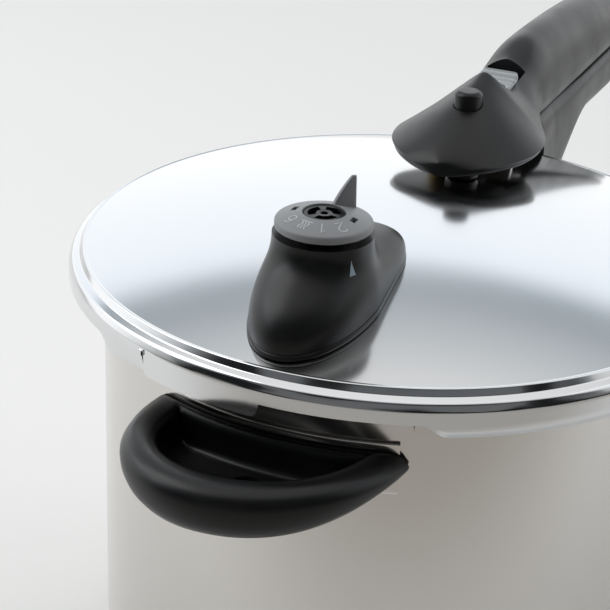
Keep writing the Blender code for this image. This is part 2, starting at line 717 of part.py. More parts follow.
def build_selector(parent):
    """Selector dial with its shark-fin lever, the spoked hub in its middle and the cam sleeve below."""
    bottom = CREASE + DIAL_HEIGHT
    edge = bottom + DIAL_EDGE
    face = edge + DIAL_CONE
    profile = [(DIAL_BORE, face), (DIAL_RADIUS - 0.8 * MM, edge), (DIAL_RADIUS, edge - 0.8 * MM)]
    profile += [(DIAL_RADIUS, bottom), (DIAL_BORE, bottom)]
    dial = turned("selector_dial", profile, GREY, (DIAL_X, 0.0), 48, parent, closed=True)
    cut(dial, cutter("fin", fin_shape(edge - 1.0 * MM, face)), "UNION")
    for side in (-1, 1):
        middle = side * SLOT_RADIUS
        low_corner = (DIAL_X - SLOT_LENGTH / 2, middle - SLOT_WIDTH / 2, bottom - MM)
        high_corner = (DIAL_X + SLOT_LENGTH / 2, middle + SLOT_WIDTH / 2, face + MM)
        cut(dial, cutter("dial_slot_%d" % (side + 2), box_shape(low_corner, high_corner)))

    hub_bottom = CREASE + CAM_TOP + GAP
    hub_top = face - 0.6 * MM
    section = ring(HUB_BORE, HUB_RADIUS, hub_bottom, hub_top)
    hub = turned("dial_hub", section, PHENOLIC, (DIAL_X, 0.0), 24, parent, True)
    opening = 360.0 / HUB_SPOKES
    for i in range(HUB_SPOKES):
        start = 30.0 + i * opening + HUB_SPOKE_ANGLE / 2
        end = start + opening - HUB_SPOKE_ANGLE
        tool = sector_shape(HUB_OPENING_INNER, HUB_OPENING_OUTER, hub_bottom - MM, hub_top + MM, start, end)
        for vertex in tool.verts:
            vertex.co.x += DIAL_X
        cut(hub, cutter("hub_opening_%d" % (i + 1), tool))

    bore = CAM_RADIUS - CAM_WALL
    top_bore = PLUNGER_STEM + 2 * GAP
    cam = [(CAM_RADIUS, CREASE + CAM_TOP), (CAM_RADIUS, CREASE + CAM_BOTTOM), (bore, CREASE + CAM_BOTTOM)]
    cam += [(bore, CREASE + CAM_ROOF), (top_bore, CREASE + CAM_ROOF)]
    web_top = CREASE + CAM_ROOF + 2 * MM
    cam += [(top_bore, web_top), (bore, web_top), (bore, CREASE + CAM_TOP)]
    turned("selector_cam", cam, ALUMINIUM, (DIAL_X, 0.0), 32, parent, True)


# Indicator and safety valve ----------------------------------------------------------------------

def build_indicator(parent):
    """Pin that pressure lifts: a foot under the lid, a thin stem and the black button above the handle."""
    below = dome(INDICATOR_X) - SHEET
    foot_top = below - INDICATOR_RISE - 2 * GAP
    stem = INDICATOR_STEM
    top = CREASE + INDICATOR_TOP
    bottom = CREASE + INDICATOR_BOTTOM
    profile = [(0.0, top), (INDICATOR_BUTTON - 0.6 * MM, top), (INDICATOR_BUTTON, top - 0.6 * MM)]
    profile += [(INDICATOR_BUTTON, bottom), (stem, bottom), (stem, foot_top), (1.8 * stem, foot_top)]
    profile += [(1.8 * stem, foot_top - 2 * MM), (0.0, foot_top - 2 * MM)]
    turned("pressure_indicator", profile, PHENOLIC, (INDICATOR_X, 0.0), 24, parent)
    seal = rod_shape((INDICATOR_X, 0.0), 2.4 * stem, CREASE, dome(INDICATOR_X) + 3 * MM)
    settle(seal, GAP)
    grommet = from_bmesh("indicator_seal", seal, SILICONE, parent)
    bore = rod_shape((INDICATOR_X, 0.0), stem + GAP, CREASE, CREASE + INDICATOR_BOTTOM)
    cut(grommet, cutter("grommet_bore", bore))


def build_safety_valve(parent):
    """Sprung relief valve on the lid, with its nut below."""
    centre = (SAFETY_X, SAFETY_SIDE)
    height = dome(*centre)
    seat = height + 5 * MM
    roof = CREASE + SAFETY_TOP - 1.5 * MM
    bottom = height - 8 * MM
    shape = rod_shape(centre, SAFETY_RADIUS, height - MM, CREASE + SAFETY_TOP)
    settle(shape, GAP)
    body = from_bmesh("safety_body", shape, BRASS, parent)
    cut(body, cutter("safety_thread", rod_shape(centre, SAFETY_THREAD, bottom, seat)), "UNION")
    cut(body, cutter("safety_bore", rod_shape(centre, 1.5 * MM, bottom - MM, CREASE + SAFETY_TOP + MM)))
    cut(body, cutter("safety_chamber", rod_shape(centre, SAFETY_RADIUS - 1.4 * MM, seat, roof)))
    hexagon = rod_shape(centre, 6.5 * MM, bottom + MM, height, 6)
    settle(hexagon, GAP, from_below=True)
    nut = from_bmesh("safety_nut", hexagon, BRASS, parent)
    cut(nut, cutter("safety_nut_bore", rod_shape(centre, SAFETY_THREAD + GAP, bottom - MM, height + MM)))

    disc = SAFETY_RADIUS - 1.4 * MM - GAP
    stem = 1.5 * MM - GAP
    top = CREASE + SAFETY_TOP + 1.5 * MM
    shoulder = seat + GAP + 1.2 * MM
    face = seat + GAP
    profile = [(0.0, top), (stem, top), (stem, shoulder), (disc, shoulder), (disc, face), (0.0, face)]
    turned("safety_plunger", profile, BRASS, centre, 20, parent)
    coil("safety_spring", centre, (stem + disc) / 2, 0.25 * MM, shoulder + GAP, roof - GAP, 4, STEEL, parent)


# Lid handle --------------------------------------------------------------------------------------

def handle_top(x):
    """Height of the lid handle's ridge over the crease, x from the skirt."""
    rise_start = -HANDLE_NOSE
    if x < -PEAK_INSET:
        share = (x - rise_start) / (HANDLE_NOSE - PEAK_INSET)
        return HANDLE_UNDERSIDE + 2 * MM + (PEAK_HEIGHT - HANDLE_UNDERSIDE - 2 * MM) * share**0.72
    if x < BOLT_REACH:
        share = (x + PEAK_INSET) / (PEAK_INSET + BOLT_REACH)
        return PEAK_HEIGHT + (GRIP_TOP - PEAK_HEIGHT) * share
    share = (x - BOLT_REACH) / (HANDLE_LENGTH - BOLT_REACH)
    return GRIP_TOP - 14 * MM * share * share


def handle_half_width(x):
    """Half the lid handle's width, x from the skirt: a round hub, a waist and a straight grip."""
    hub = -HANDLE_HUB
    if x < hub:
        share = (hub - x) / (HANDLE_NOSE - HANDLE_HUB)
        return HUB_HALF_WIDTH * math.sqrt(max(0.0, 1.0 - share * share))
    share = min(1.0, (x - hub) / HANDLE_HUB)
    share = share * share * (3.0 - 2.0 * share)
    return HUB_HALF_WIDTH + (GRIP_HALF_WIDTH - HUB_HALF_WIDTH) * share


def arched_section(x, half_width, bottom, top, squareness, count=20):
    """A closed cross-section in the plane x: an arch over a flat underside with rounded corners."""
    belt = bottom + 0.22 * (top - bottom)
    loop = []
    for i in range(count):
        angle = TAU * (i + 0.5) / count
        c, s = math.cos(angle), math.sin(angle)
        y = half_width * math.copysign(abs(c) ** squareness, c)
        if s >= 0.0:
            z = belt + (top - belt) * abs(s) ** squareness
        else:
            z = belt - (belt - bottom) * abs(s) ** 0.5
            y = half_width * math.copysign(abs(c) ** 0.5, c) * 0.97
        loop.append((x, y, z))
    return loop


def lid_handle_loops():
    """Sections of the lid handle from the hub's nose to the grip's end."""
    stations = [-HANDLE_NOSE + 0.3 * MM, -HANDLE_NOSE + 2 * MM, -HANDLE_NOSE + 7 * MM, -HANDLE_NOSE + 16 * MM]
    stations += [-HANDLE_NOSE + 28 * MM, -PEAK_INSET - 8 * MM, -PEAK_INSET, -PEAK_INSET / 2, 0.0, BOLT_REACH]
    stations += [BOLT_REACH + (HANDLE_LENGTH - BOLT_REACH) * i / 4 for i in range(1, 4)]
    stations += [HANDLE_LENGTH - 8 * MM, HANDLE_LENGTH - 2 * MM, HANDLE_LENGTH]
    loops = []
    for x in stations:
        shrink = end_shrink(x, HANDLE_LENGTH, 8 * MM)
        low = CREASE + HANDLE_UNDERSIDE
        high = CREASE + handle_top(x)
        middle = (low + high) / 2
        width = handle_half_width(x) * shrink
        arch = 1.0 + min(1.0, max(0.0, -x / PEAK_INSET))
        bottom = middle - (middle - low) * shrink
        loops.append(arched_section(SKIRT_RADIUS + x, width, bottom, middle + (high - middle) * shrink, arch))
    return loops


def end_shrink(x, end, rounding):
    """Share of the full section left near a rounded end."""
    inside = (end - x) / rounding
    if inside >= 1.0:
        return 1.0
    return 0.55 + 0.45 * math.sqrt(1.0 - (1.0 - inside) ** 2)


def build_lid_handle(parent):
    """Upper handle with pockets for the bracket, the indicator, the slide, its link and the bolt."""
    handle = from_bmesh("lid_handle", loft_shape(lid_handle_loops()), PHENOLIC, parent, 50.0)
    floor = CREASE + HANDLE_UNDERSIDE - MM
    roof = CREASE + POCKET_ROOF
    sky = CREASE + GRIP_TOP + 5 * MM
    wide = POCKET_HALF_WIDTH
    narrow = BRACKET_WIDTH / 2 + MM
    inner = SKIRT_RADIUS - POCKET_START
    middle = SKIRT_RADIUS - POCKET_END
    cut(handle, cutter("hub_pocket", box_shape((inner, -wide, floor), (middle, wide, roof))))
    nose = box_shape(
        (SKIRT_RADIUS - POCKET_NOSE, -POCKET_NOSE_WIDTH, floor), (inner + MM, POCKET_NOSE_WIDTH, roof)
    )
    cut(handle, cutter("nose_pocket", nose))
    arm = box_shape((middle - MM, -narrow, floor), (SKIRT_RADIUS + BRACKET_END + MM, narrow, roof - MM))
    cut(handle, cutter("arm_pocket", arm))
    thumb = (SLIDE_X, CREASE + THUMB_FLOOR + THUMB_RADIUS)
    cut(handle, cutter("thumb_notch", rod_shape(thumb, THUMB_RADIUS, -40 * MM, 40 * MM, 40, "Y")))
    half = SLIDE_LENGTH / 2 + GAP
    side = SLIDE_HALF_WIDTH + GAP
    slot_low = (SLIDE_X - half, -side, CREASE + SLIDE_BOTTOM - GAP)
    cut(handle, cutter("slide_slot", box_shape(slot_low, (SLIDE_X + half + SLIDE_TRAVEL, side, sky))))
    link = LINK_HALF_WIDTH + GAP
    link_low = (SLIDE_X - LINK_ROOT - GAP, -link, CREASE + LINK_BOTTOM - GAP)
    link_high = (SKIRT_RADIUS + LINK_END + SLIDE_TRAVEL + GAP, link, CREASE + LINK_TOP + GAP)
    cut(handle, cutter("link_channel", box_shape(link_low, link_high)))
    well_low = (BOLT_X - BOLT_HALF_LENGTH - GAP, -BOLT_HALF_WIDTH - GAP, floor)
    well_high = (BOLT_X + BOLT_HALF_LENGTH + GAP, BOLT_HALF_WIDTH + GAP, CREASE + BOLT_SPRING_TOP + GAP)
    cut(handle, cutter("bolt_well", box_shape(well_low, well_high)))
    spot = (INDICATOR_X, 0.0)
    button_floor = CREASE + INDICATOR_BOTTOM - MM
    button_bore = rod_shape(spot, INDICATOR_BUTTON + GAP, button_floor, sky, 32)
    cut(handle, cutter("button_bore", button_bore))
    cut(handle, cutter("stem_bore_upper", rod_shape(spot, INDICATOR_STEM + GAP, roof - MM, sky)))
    for side, spot in lid_screws():
        bore = rod_shape(spot, SCREW_RADIUS + GAP, roof - 2 * MM, roof + 4 * MM)
        cut(handle, cutter("lid_screw_bore_" + side, bore))
    end = (GRIP_END - HANG_INSET, 0.0)
    cut(handle, cutter("hang_hole_upper", rod_shape(end, HANG_HOLE, floor - MM, sky, 24)))


def lid_screws():
    """The places of the two screws that hold the lid handle to its bracket, over the skirt."""
    x = SKIRT_RADIUS - 2 * MM
    return (("left", (x, LID_SCREW_SIDE)), ("right", (x, -LID_SCREW_SIDE)))


def build_lid_bracket(parent):
    """Folded strip on the lid that carries the handle, the screws through it and the front spacer."""
    inner = SKIRT_RADIUS - BRACKET_REACH
    riser = SKIRT_RADIUS - BRACKET_RISER
    arm = CREASE + BRACKET_ARM
    sheet = BRACKET_SHEET
    outer = SKIRT_RADIUS + BRACKET_END
    outline = [(inner, dome(inner) + GAP), (riser + sheet, dome(riser + sheet) + GAP)]
    outline += [(riser + sheet, arm), (outer, arm), (outer, arm + sheet)]
    outline += [(riser, arm + sheet), (riser, dome(riser) + GAP + sheet), (inner, dome(inner) + GAP + sheet)]
    half = BRACKET_WIDTH / 2
    bracket = from_bmesh("lid_bracket", extruded_shape(outline, -half, half), SATIN, parent)
    head = arm - GAP
    tip = CREASE + POCKET_ROOF + 3 * MM
    profile = [(0.0, tip), (SCREW_RADIUS, tip), (SCREW_RADIUS, head), (SCREW_HEAD, head)]
    profile += [(SCREW_HEAD, head - 1.2 * MM), (0.6 * SCREW_HEAD, head - 2.0 * MM), (0.0, head - 2.0 * MM)]
    for side, centre in lid_screws():
        hole = rod_shape(centre, SCREW_RADIUS + GAP, arm - MM, arm + sheet + MM)
        cut(bracket, cutter("lid_bracket_hole_" + side, hole))
        turned("lid_handle_screw_" + side, profile, SATIN, centre, 16, parent)
    spot = (SKIRT_RADIUS - SPACER_INSET, -SPACER_SIDE)
    spacer = rod_shape(spot, SPACER_RADIUS, dome(*spot), CREASE + HANDLE_UNDERSIDE - GAP)
    settle(spacer, GAP)
    from_bmesh("handle_spacer", spacer, PHENOLIC, parent)


def build_slide(parent):
    """Thumb slide with a hollowed top, and the flat link whose sloping slot lifts the bolt."""
    half = SLIDE_LENGTH / 2
    low = (SLIDE_X - half, -SLIDE_HALF_WIDTH, CREASE + SLIDE_BOTTOM)
    high = (SLIDE_X + half, SLIDE_HALF_WIDTH, CREASE + SLIDE_TOP)
    slide = from_bmesh("slide_button", box_shape(low, high), LIGHT, parent)
    scoop = (SLIDE_X, CREASE + SLIDE_TOP + 8 * MM)
    cut(slide, cutter("slide_scoop", rod_shape(scoop, 13 * MM, -20 * MM, 20 * MM, 40, "Y")))
    link_low = (SLIDE_X - LINK_ROOT, -LINK_HALF_WIDTH, CREASE + LINK_BOTTOM)
    link_high = (SKIRT_RADIUS + LINK_END, LINK_HALF_WIDTH, CREASE + LINK_TOP)
    cut(slide, cutter("slide_link", box_shape(link_low, link_high)), "UNION")
    cut(slide, cutter("cam_slot", cam_slot_shape()))


def cam_slot_shape():
    """Sloping round-ended slot in the link, which the bolt's pin climbs as the slide goes back."""
    radius = BOLT_PIN_RADIUS + GAP
    start = (BOLT_X, CREASE + BOLT_PIN_HEIGHT)
    finish = (BOLT_X - SLIDE_TRAVEL, CREASE + BOLT_PIN_HEIGHT + BOLT_TRAVEL)
    slope = math.degrees(math.atan2(finish[1] - start[1], finish[0] - start[0]))
    outline = arc(finish, radius, slope - 90, slope + 90, 8) + arc(start, radius, slope + 90, slope + 270, 8)
    return extruded_shape(outline, -2 * LINK_HALF_WIDTH, 2 * LINK_HALF_WIDTH)


def build_bolt(parent):
    """Forked lock bolt around the link, its cross pin in the cam slot, and its spring."""
    low = (BOLT_X - BOLT_HALF_LENGTH, -BOLT_HALF_WIDTH, CREASE + BOLT_TIP)
    high = (BOLT_X + BOLT_HALF_LENGTH, BOLT_HALF_WIDTH, CREASE + BOLT_TOP)
    bolt = from_bmesh("latch_bolt", box_shape(low, high), SATIN, parent)
    side = LINK_HALF_WIDTH + GAP
    window_low = (low[0] - MM, -side, CREASE + LINK_BOTTOM - BOLT_TRAVEL - GAP)
    window_high = (high[0] + MM, side, CREASE + LINK_TOP + GAP)
    cut(bolt, cutter("bolt_window", box_shape(window_low, window_high)))
    pin = rod_shape((BOLT_X, CREASE + BOLT_PIN_HEIGHT), BOLT_PIN_RADIUS, -side - MM, side + MM, 16, "Y")
    cut(bolt, cutter("bolt_pin", pin), "UNION")
    bottom = CREASE + BOLT_TOP + GAP
    top = CREASE + BOLT_SPRING_TOP
    coil("latch_spring", (BOLT_X, 0.0), 2.2 * MM, 0.35 * MM, bottom, top, 5, STEEL, parent)


# Pot handles -------------------------------------------------------------------------------------

def wall_plate(name, half_angle, bottom, top, middle, surface):
    """A curved sheet against the pot's wall, its middle at an angle in degrees."""
    inner = POT_RADIUS + GAP
    start, end = middle - half_angle, middle + half_angle
    shape = sector_shape(inner, inner + GUARD_SHEET, bottom, top, start, end, 12)
    return from_bmesh(name, shape, surface)


def build_body_handle():
    """Lower long handle: a deep root at the pot, a step up past the lid's skirt and a straight grip."""
    root = POT_RADIUS + GAP + GUARD_SHEET + GAP
    top = CREASE - ROOT_TOP
    bottom = CREASE - ROOT_BOTTOM
    grip_top = CREASE + LOWER_GRIP_TOP
    grip_bottom = CREASE - LOWER_GRIP_BOTTOM
    past = SKIRT_RADIUS + 3 * MM
    sections = [
        (root + 1.5 * MM, ROOT_HALF_WIDTH, bottom, top),
        (past, ROOT_HALF_WIDTH * 0.96, bottom + 2 * MM, top),
        (past + 0.6 * MM, ROOT_HALF_WIDTH * 0.95, bottom + 3 * MM, grip_top),
        (past + 20 * MM, GRIP_HALF_WIDTH, bottom + 6 * MM, grip_top),
        (past + 45 * MM, GRIP_HALF_WIDTH, (bottom + 2 * grip_bottom) / 3, grip_top),
        (past + 75 * MM, GRIP_HALF_WIDTH, grip_bottom, grip_top),
        (past + 115 * MM, GRIP_HALF_WIDTH, grip_bottom - MM, grip_top),
        (GRIP_END - 8 * MM, GRIP_HALF_WIDTH, grip_bottom + 3 * MM, grip_top),
        (GRIP_END - 1 * MM, GRIP_HALF_WIDTH * 0.8, grip_bottom + 7 * MM, grip_top - 3 * MM),
    ]
    loops = [flat_top_section(*section) for section in sections]
    handle = from_bmesh("body_handle", loft_shape(loops), PHENOLIC, None, 50.0)
    arm_top = bottom + ARM_RISE
    arm = box_shape(
        (root - MM, -ARM_HALF_WIDTH - GAP, arm_top - ARM_SHEET - GAP),
        (root + ARM_LENGTH + GAP, ARM_HALF_WIDTH + GAP, arm_top + GAP),
    )
    cut(handle, cutter("arm_slot", arm))
    spot = (root + ARM_LENGTH - ARM_SCREW_INSET, 0.0)
    cut(handle, cutter("body_screw_bore", rod_shape(spot, SCREW_RADIUS + GAP, bottom - MM, arm_top + 5 * MM)))
    head_bore = rod_shape(spot, SCREW_HEAD + GAP, bottom - MM, arm_top - ARM_HEAD_DROP)
    cut(handle, cutter("body_screw_head", head_bore))
    keeper_half = BOLT_HALF_LENGTH + 2 * GAP
    keeper_low = (BOLT_X - keeper_half - KEEPER_SWING, -BOLT_HALF_WIDTH - 2 * GAP, grip_top - KEEPER_DEPTH)
    keeper_high = (BOLT_X + keeper_half, GRIP_HALF_WIDTH + 5 * MM, grip_top + MM)
    cut(handle, cutter("keeper_slot", box_shape(keeper_low, keeper_high)))
    end = (GRIP_END - HANG_INSET, 0.0)
    cut(handle, cutter("hang_hole_lower", rod_shape(end, HANG_HOLE, grip_bottom - 9 * MM, grip_top + MM, 24)))


def flat_top_section(x, half_width, bottom, top, count=20):
    """A closed cross-section in the plane x: a rounded underside and a flat top with eased corners."""
    middle = (bottom + top) / 2
    loop = []
    for i in range(count):
        angle = TAU * (i + 0.5) / count
        c, s = math.cos(angle), math.sin(angle)
        y = half_width * math.copysign(abs(c) ** 0.5, c)
        power = 0.35 if s > 0 else 0.8
        z = middle + (top - middle) * math.copysign(abs(s) ** power, s)
        loop.append((x, y, z))
    return loop


def build_long_bracket():
    """Steel arm that carries the long handle, the guard plate it is welded to and the handle's screw."""
    bottom = CREASE - ROOT_BOTTOM
    top = CREASE - ROOT_TOP
    half_angle = math.degrees((ROOT_HALF_WIDTH + MM) / POT_RADIUS)
    wall_plate("flame_guard", half_angle, bottom - 2 * MM, top, 0.0, STEEL)
    root = POT_RADIUS + GAP + GUARD_SHEET + GAP
    arm_top = bottom + ARM_RISE
    low = (root, -ARM_HALF_WIDTH, arm_top - ARM_SHEET)
    high = (root + ARM_LENGTH, ARM_HALF_WIDTH, arm_top)
    arm = from_bmesh("long_bracket", box_shape(low, high), SATIN)
    spot = (root + ARM_LENGTH - ARM_SCREW_INSET, 0.0)
    hole = rod_shape(spot, SCREW_RADIUS + GAP, arm_top - ARM_SHEET - MM, arm_top + MM)
    cut(arm, cutter("arm_hole", hole))
    head = arm_top - ARM_HEAD_DROP - GAP
    profile = [(0.0, arm_top + 4 * MM), (SCREW_RADIUS, arm_top + 4 * MM), (SCREW_RADIUS, head)]
    profile += [(SCREW_HEAD, head), (SCREW_HEAD, head - 1.2 * MM), (0.6 * SCREW_HEAD, head - 2.4 * MM)]
    profile.append((0.0, head - 2.4 * MM))
    turned("body_handle_screw", profile, SATIN, spot, 16)


def helper_outline(inset=0.0, back=0.0, count=28):
    """Plan of the short handle: a half ellipse, drawn in by inset, whose flat side follows the pot's wall."""
    wall = POT_RADIUS + 2 * GAP + GUARD_SHEET + back
    reach = POT_RADIUS + HELPER_REACH - inset
    half = HELPER_HALF_WIDTH - inset
    start = math.sqrt(wall * wall - half * half)
    points = []
    for i in range(count + 1):
        angle = math.pi * (i / count - 0.5)
        out = math.cos(angle) ** 0.9
        points.append((-start - (reach - start) * out, half * math.sin(angle) + HELPER_SKEW * out))
    bow = 12
    for i in range(1, bow):
        across = half * (1 - 2 * i / bow)
        points.append((-math.sqrt(wall * wall - across * across), across))
    turn = math.radians(HELPER_AZIMUTH - 180.0)
    c, s = math.cos(turn), math.sin(turn)
    return [(x * c - y * s, x * s + y * c) for x, y in points]


def build_helper_handle():
    """Short tray-shaped handle with a finger well, its curved wall bracket and its screw."""
    top = CREASE - HELPER_TOP
    bottom = top - HELPER_THICKNESS
    loops = []
    for inset, share in ((5.0, 0.0), (1.5, 0.13), (0.0, 0.38), (0.0, 0.66), (1.2, 0.88), (3.6, 1.0)):
        height = bottom + HELPER_THICKNESS * share
        loops.append([(x, y, height) for x, y in helper_outline(inset * MM)])
    handle = from_bmesh("helper_handle", loft_shape(loops), PHENOLIC, None, 50.0)
    floor = top - HELPER_WELL
    low = [(x, y, floor) for x, y in helper_outline(HELPER_RIM + 3 * MM, 5 * MM)]
    high = [(x, y, top + MM) for x, y in helper_outline(HELPER_RIM, 3 * MM)]
    cut(handle, cutter("finger_well", loft_shape([low, high])))
    plate_top = top + 3 * MM
    wall_plate("helper_bracket", HELPER_PLATE_ANGLE, bottom + 2 * MM, plate_top, HELPER_AZIMUTH, STEEL)
    azimuth = math.radians(HELPER_AZIMUTH)
    distance = POT_RADIUS + HELPER_SCREW_REACH
    spot = (distance * math.cos(azimuth), distance * math.sin(azimuth))
    cut(handle, cutter("helper_screw_bore", rod_shape(spot, SCREW_RADIUS + GAP, bottom - MM, floor + MM)))
    cut(handle, cutter("helper_screw_seat", rod_shape(spot, SCREW_HEAD + GAP, floor - 2 * MM, floor + MM)))
    head = floor - 2 * MM + GAP
    profile = [(0.0, head + 1.5 * MM), (SCREW_HEAD * 0.7, head + 1.5 * MM), (SCREW_HEAD, head + 0.6 * MM)]
    profile += [(SCREW_HEAD, head), (SCREW_RADIUS, head), (SCREW_RADIUS, bottom + MM), (0.0, bottom + MM)]
    turned("helper_screw", profile, SATIN, spot, 16)


def main():
    build_pot()
    build_base()
    build_long_bracket()
    build_body_handle()
    build_helper_handle()
    lid = empty("lid_axis", (0.0, 0.0, CREASE))
    bpy.context.view_layer.update()
    selector = empty("selector_axis", (DIAL_X, 0.0, CREASE + DIAL_HEIGHT), lid)
    bpy.context.view_layer.update()
    build_lid_shell(lid)
    build_gasket(lid)
    build_housing(lid)
    build_steam_valve(lid)
    build_plunger(lid)
    build_selector(selector)
    build_indicator(lid)
    build_safety_valve(lid)
    build_lid_handle(lid)
    build_lid_bracket(lid)
    build_slide(lid)
    build_bolt(lid)


main()
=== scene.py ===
"""Stovetop pressure cooker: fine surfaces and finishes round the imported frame, with floor, light and camera.

Frame: metres, +Z up, origin on the pot's axis where it stands, +X towards the long handle. Sizes in the
classes are in millimetres; heights named from the crease are measured from the line round the lid's dome.
"""
import logging
import math
from dataclasses import dataclass
from enum import Enum
from typing import Optional, Sequence

import bmesh
import bpy
import numpy as np
from mathutils import Matrix, Vector


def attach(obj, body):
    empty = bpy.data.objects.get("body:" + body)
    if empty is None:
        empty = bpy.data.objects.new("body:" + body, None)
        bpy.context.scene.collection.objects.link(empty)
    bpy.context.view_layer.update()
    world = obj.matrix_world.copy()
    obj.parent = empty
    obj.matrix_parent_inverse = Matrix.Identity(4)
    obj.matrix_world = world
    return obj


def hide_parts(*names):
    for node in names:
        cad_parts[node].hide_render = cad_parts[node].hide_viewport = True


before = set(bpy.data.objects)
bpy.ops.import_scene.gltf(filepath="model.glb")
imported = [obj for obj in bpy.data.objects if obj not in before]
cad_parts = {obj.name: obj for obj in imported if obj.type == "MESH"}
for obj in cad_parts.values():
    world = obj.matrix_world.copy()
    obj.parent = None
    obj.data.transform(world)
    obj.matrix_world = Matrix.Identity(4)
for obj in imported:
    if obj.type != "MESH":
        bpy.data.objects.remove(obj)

LOG = logging.getLogger("pressure_cooker")
MM = 0.001
CREASE = 175.7  # height of the line round the lid's dome
FLANGE_TOP = 167.0
POT_RADIUS = 111.0
DOME_RADIUS = 117.5
DOME_RISE = 12.0  # of the lid's middle over the crease
SKIRT_RADIUS = 124.0
DIAL_X = -77.5
BUTTON_X = 67.0
BUTTON_RADIUS = 5.6
BUTTON_STEM = 2.5
SLIDE_X = 98.0
BOLT_X = 140.0
GRIP_END = 300.0
GAP = 0.3  # between neighbours
INK = 0.09  # thickness of the printed marks on the dial
HANG_INSET = 14.0  # of the hanging holes from the handles' ends
HANG_RADIUS = 5.0
SHANK = 2.5  # radius of the screws
HEAD = 4.5
LID_SCREW_X = 122.0
LID_SCREW_SIDE = 6.0
HELPER_AZIMUTH = 178.6  # degrees from +X
HELPER_SCREW_REACH = 127.0  # from the pot's axis
Array = np.ndarray
Point = tuple[float, float, float]


class Body(Enum):
    """The frame's moving bodies that new pieces ride on."""

    POT = "pot"
    LID = "lid"
    SELECTOR = "selector"
    INDICATOR = "indicator"
    SLIDE = "slide"


class Grain(Enum):
    """How a finish's fine relief runs."""

    SMOOTH = "smooth"
    MOULDED = "moulded"
    ROUND_AXIS = "round_axis"
    UPRIGHT_BANDS = "upright_bands"


# Finishes ----------------------------------------------------------------------------------------


def linear(hex_colour: str) -> tuple[float, float, float, float]:
    """Turn an sRGB hex colour into linear values.

    Args:
        hex_colour: Six hex digits after a hash.

    Returns:
        Red, green, blue and an alpha of one.
    """
    parts = [int(hex_colour[i : i + 2], 16) / 255.0 for i in (1, 3, 5)]
    values = [p / 12.92 if p <= 0.04045 else ((p + 0.055) / 1.055) ** 2.4 for p in parts]
    return (values[0], values[1], values[2], 1.0)


def add_node(tree: bpy.types.NodeTree, kind: str, inputs: Optional[dict] = None,
             **settings: object) -> bpy.types.Node:
    """Add one node with its settings, values and links.

    Args:
        tree: Node tree that gets it.
        kind: Node type.
        inputs: Socket name or number to a value, or to the output socket that feeds it.
        settings: Attributes of the node itself.

    Returns:
        The new node.
    """
    node = tree.nodes.new(kind)
    for name, value in settings.items():
        setattr(node, name, value)
    for socket, value in (inputs or {}).items():
        if isinstance(value, bpy.types.NodeSocket):
            tree.links.new(value, node.inputs[socket])
        else:
            node.inputs[socket].default_value = value
    return node


@dataclass(frozen=True)
class Finish:
    """One material: its colour, its gloss and the relief left by the way it was made."""

    name: str
    slot: str  # the record's material slot that pieces of this finish belong to
    colour: str
    roughness: float
    metallic: float = 0.0
    ior: float = 1.5
    grain: Grain = Grain.SMOOTH
    pitch: float = 1.0  # millimetres between two marks of the relief
    depth: float = 0.0  # millimetres from top to bottom of the relief
    spread: float = 0.0  # how far the roughness wanders either way
    patch: float = 40.0  # millimetres between two patches of that wander
    scatter: float = 0.0  # millimetres light travels inside

    def make(self) -> bpy.types.Material:
        """Build the node material."""
        surface = bpy.data.materials.new(self.name)
        surface.use_nodes = True
        tree = surface.node_tree
        shader = tree.nodes["Principled BSDF"]
        shader.inputs["Base Color"].default_value = linear(self.colour)
        shader.inputs["Metallic"].default_value = self.metallic
        shader.inputs["Roughness"].default_value = self.roughness
        if not self.metallic:
            shader.inputs["IOR"].default_value = self.ior
        if self.scatter:
            shader.inputs["Subsurface Weight"].default_value = 0.2
            shader.inputs["Subsurface Scale"].default_value = self.scatter * MM
        where = add_node(tree, "ShaderNodeTexCoord").outputs["Object"]
        if self.spread:
            self.wander(tree, shader, where)
        if self.depth:
            self.relief(tree, shader, where)
        surface.diffuse_color = linear(self.colour)
        return surface

    def wander(self, tree: bpy.types.NodeTree, shader: bpy.types.Node, where: bpy.types.NodeSocket) -> None:
        """Let the roughness wander in soft patches, as handling and polishing leave it."""
        inputs = {"Vector": where, "Scale": 1.0 / (self.patch * MM), "Detail": 2.0}
        noise = add_node(tree, "ShaderNodeTexNoise", inputs)
        low, high = self.roughness - self.spread, self.roughness + self.spread
        inputs = {"Value": noise.outputs["Fac"], "From Min": 0.3, "From Max": 0.7,
                  "To Min": low, "To Max": high}
        ranged = add_node(tree, "ShaderNodeMapRange", inputs)
        tree.links.new(ranged.outputs["Result"], shader.inputs["Roughness"])

    def relief(self, tree: bpy.types.NodeTree, shader: bpy.types.Node, where: bpy.types.NodeSocket) -> None:
        """Add the fine relief as a bump."""
        scale = 1.0 / (self.pitch * MM)
        if self.grain is Grain.ROUND_AXIS:
            flat = add_node(tree, "ShaderNodeVectorMath", {0: where, 1: (1.0, 1.0, 0.0)},
                            operation="MULTIPLY")
            reach = add_node(tree, "ShaderNodeVectorMath", {0: flat.outputs[0]}, operation="LENGTH")
            inputs = {"W": reach.outputs["Value"], "Scale": scale, "Detail": 1.0}
            noise = add_node(tree, "ShaderNodeTexNoise", inputs, noise_dimensions="1D")
        elif self.grain is Grain.UPRIGHT_BANDS:
            height = add_node(tree, "ShaderNodeSeparateXYZ", {0: where})
            inputs = {"W": height.outputs["Z"], "Scale": scale, "Detail": 1.0}
            noise = add_node(tree, "ShaderNodeTexNoise", inputs, noise_dimensions="1D")
        else:
            noise = add_node(tree, "ShaderNodeTexNoise", {"Vector": where, "Scale": scale, "Detail": 2.0})
        inputs = {"Height": noise.outputs["Fac"], "Distance": self.depth * MM, "Strength": 1.0}
        bump = add_node(tree, "ShaderNodeBump", inputs)
        tree.links.new(bump.outputs["Normal"], shader.inputs["Normal"])


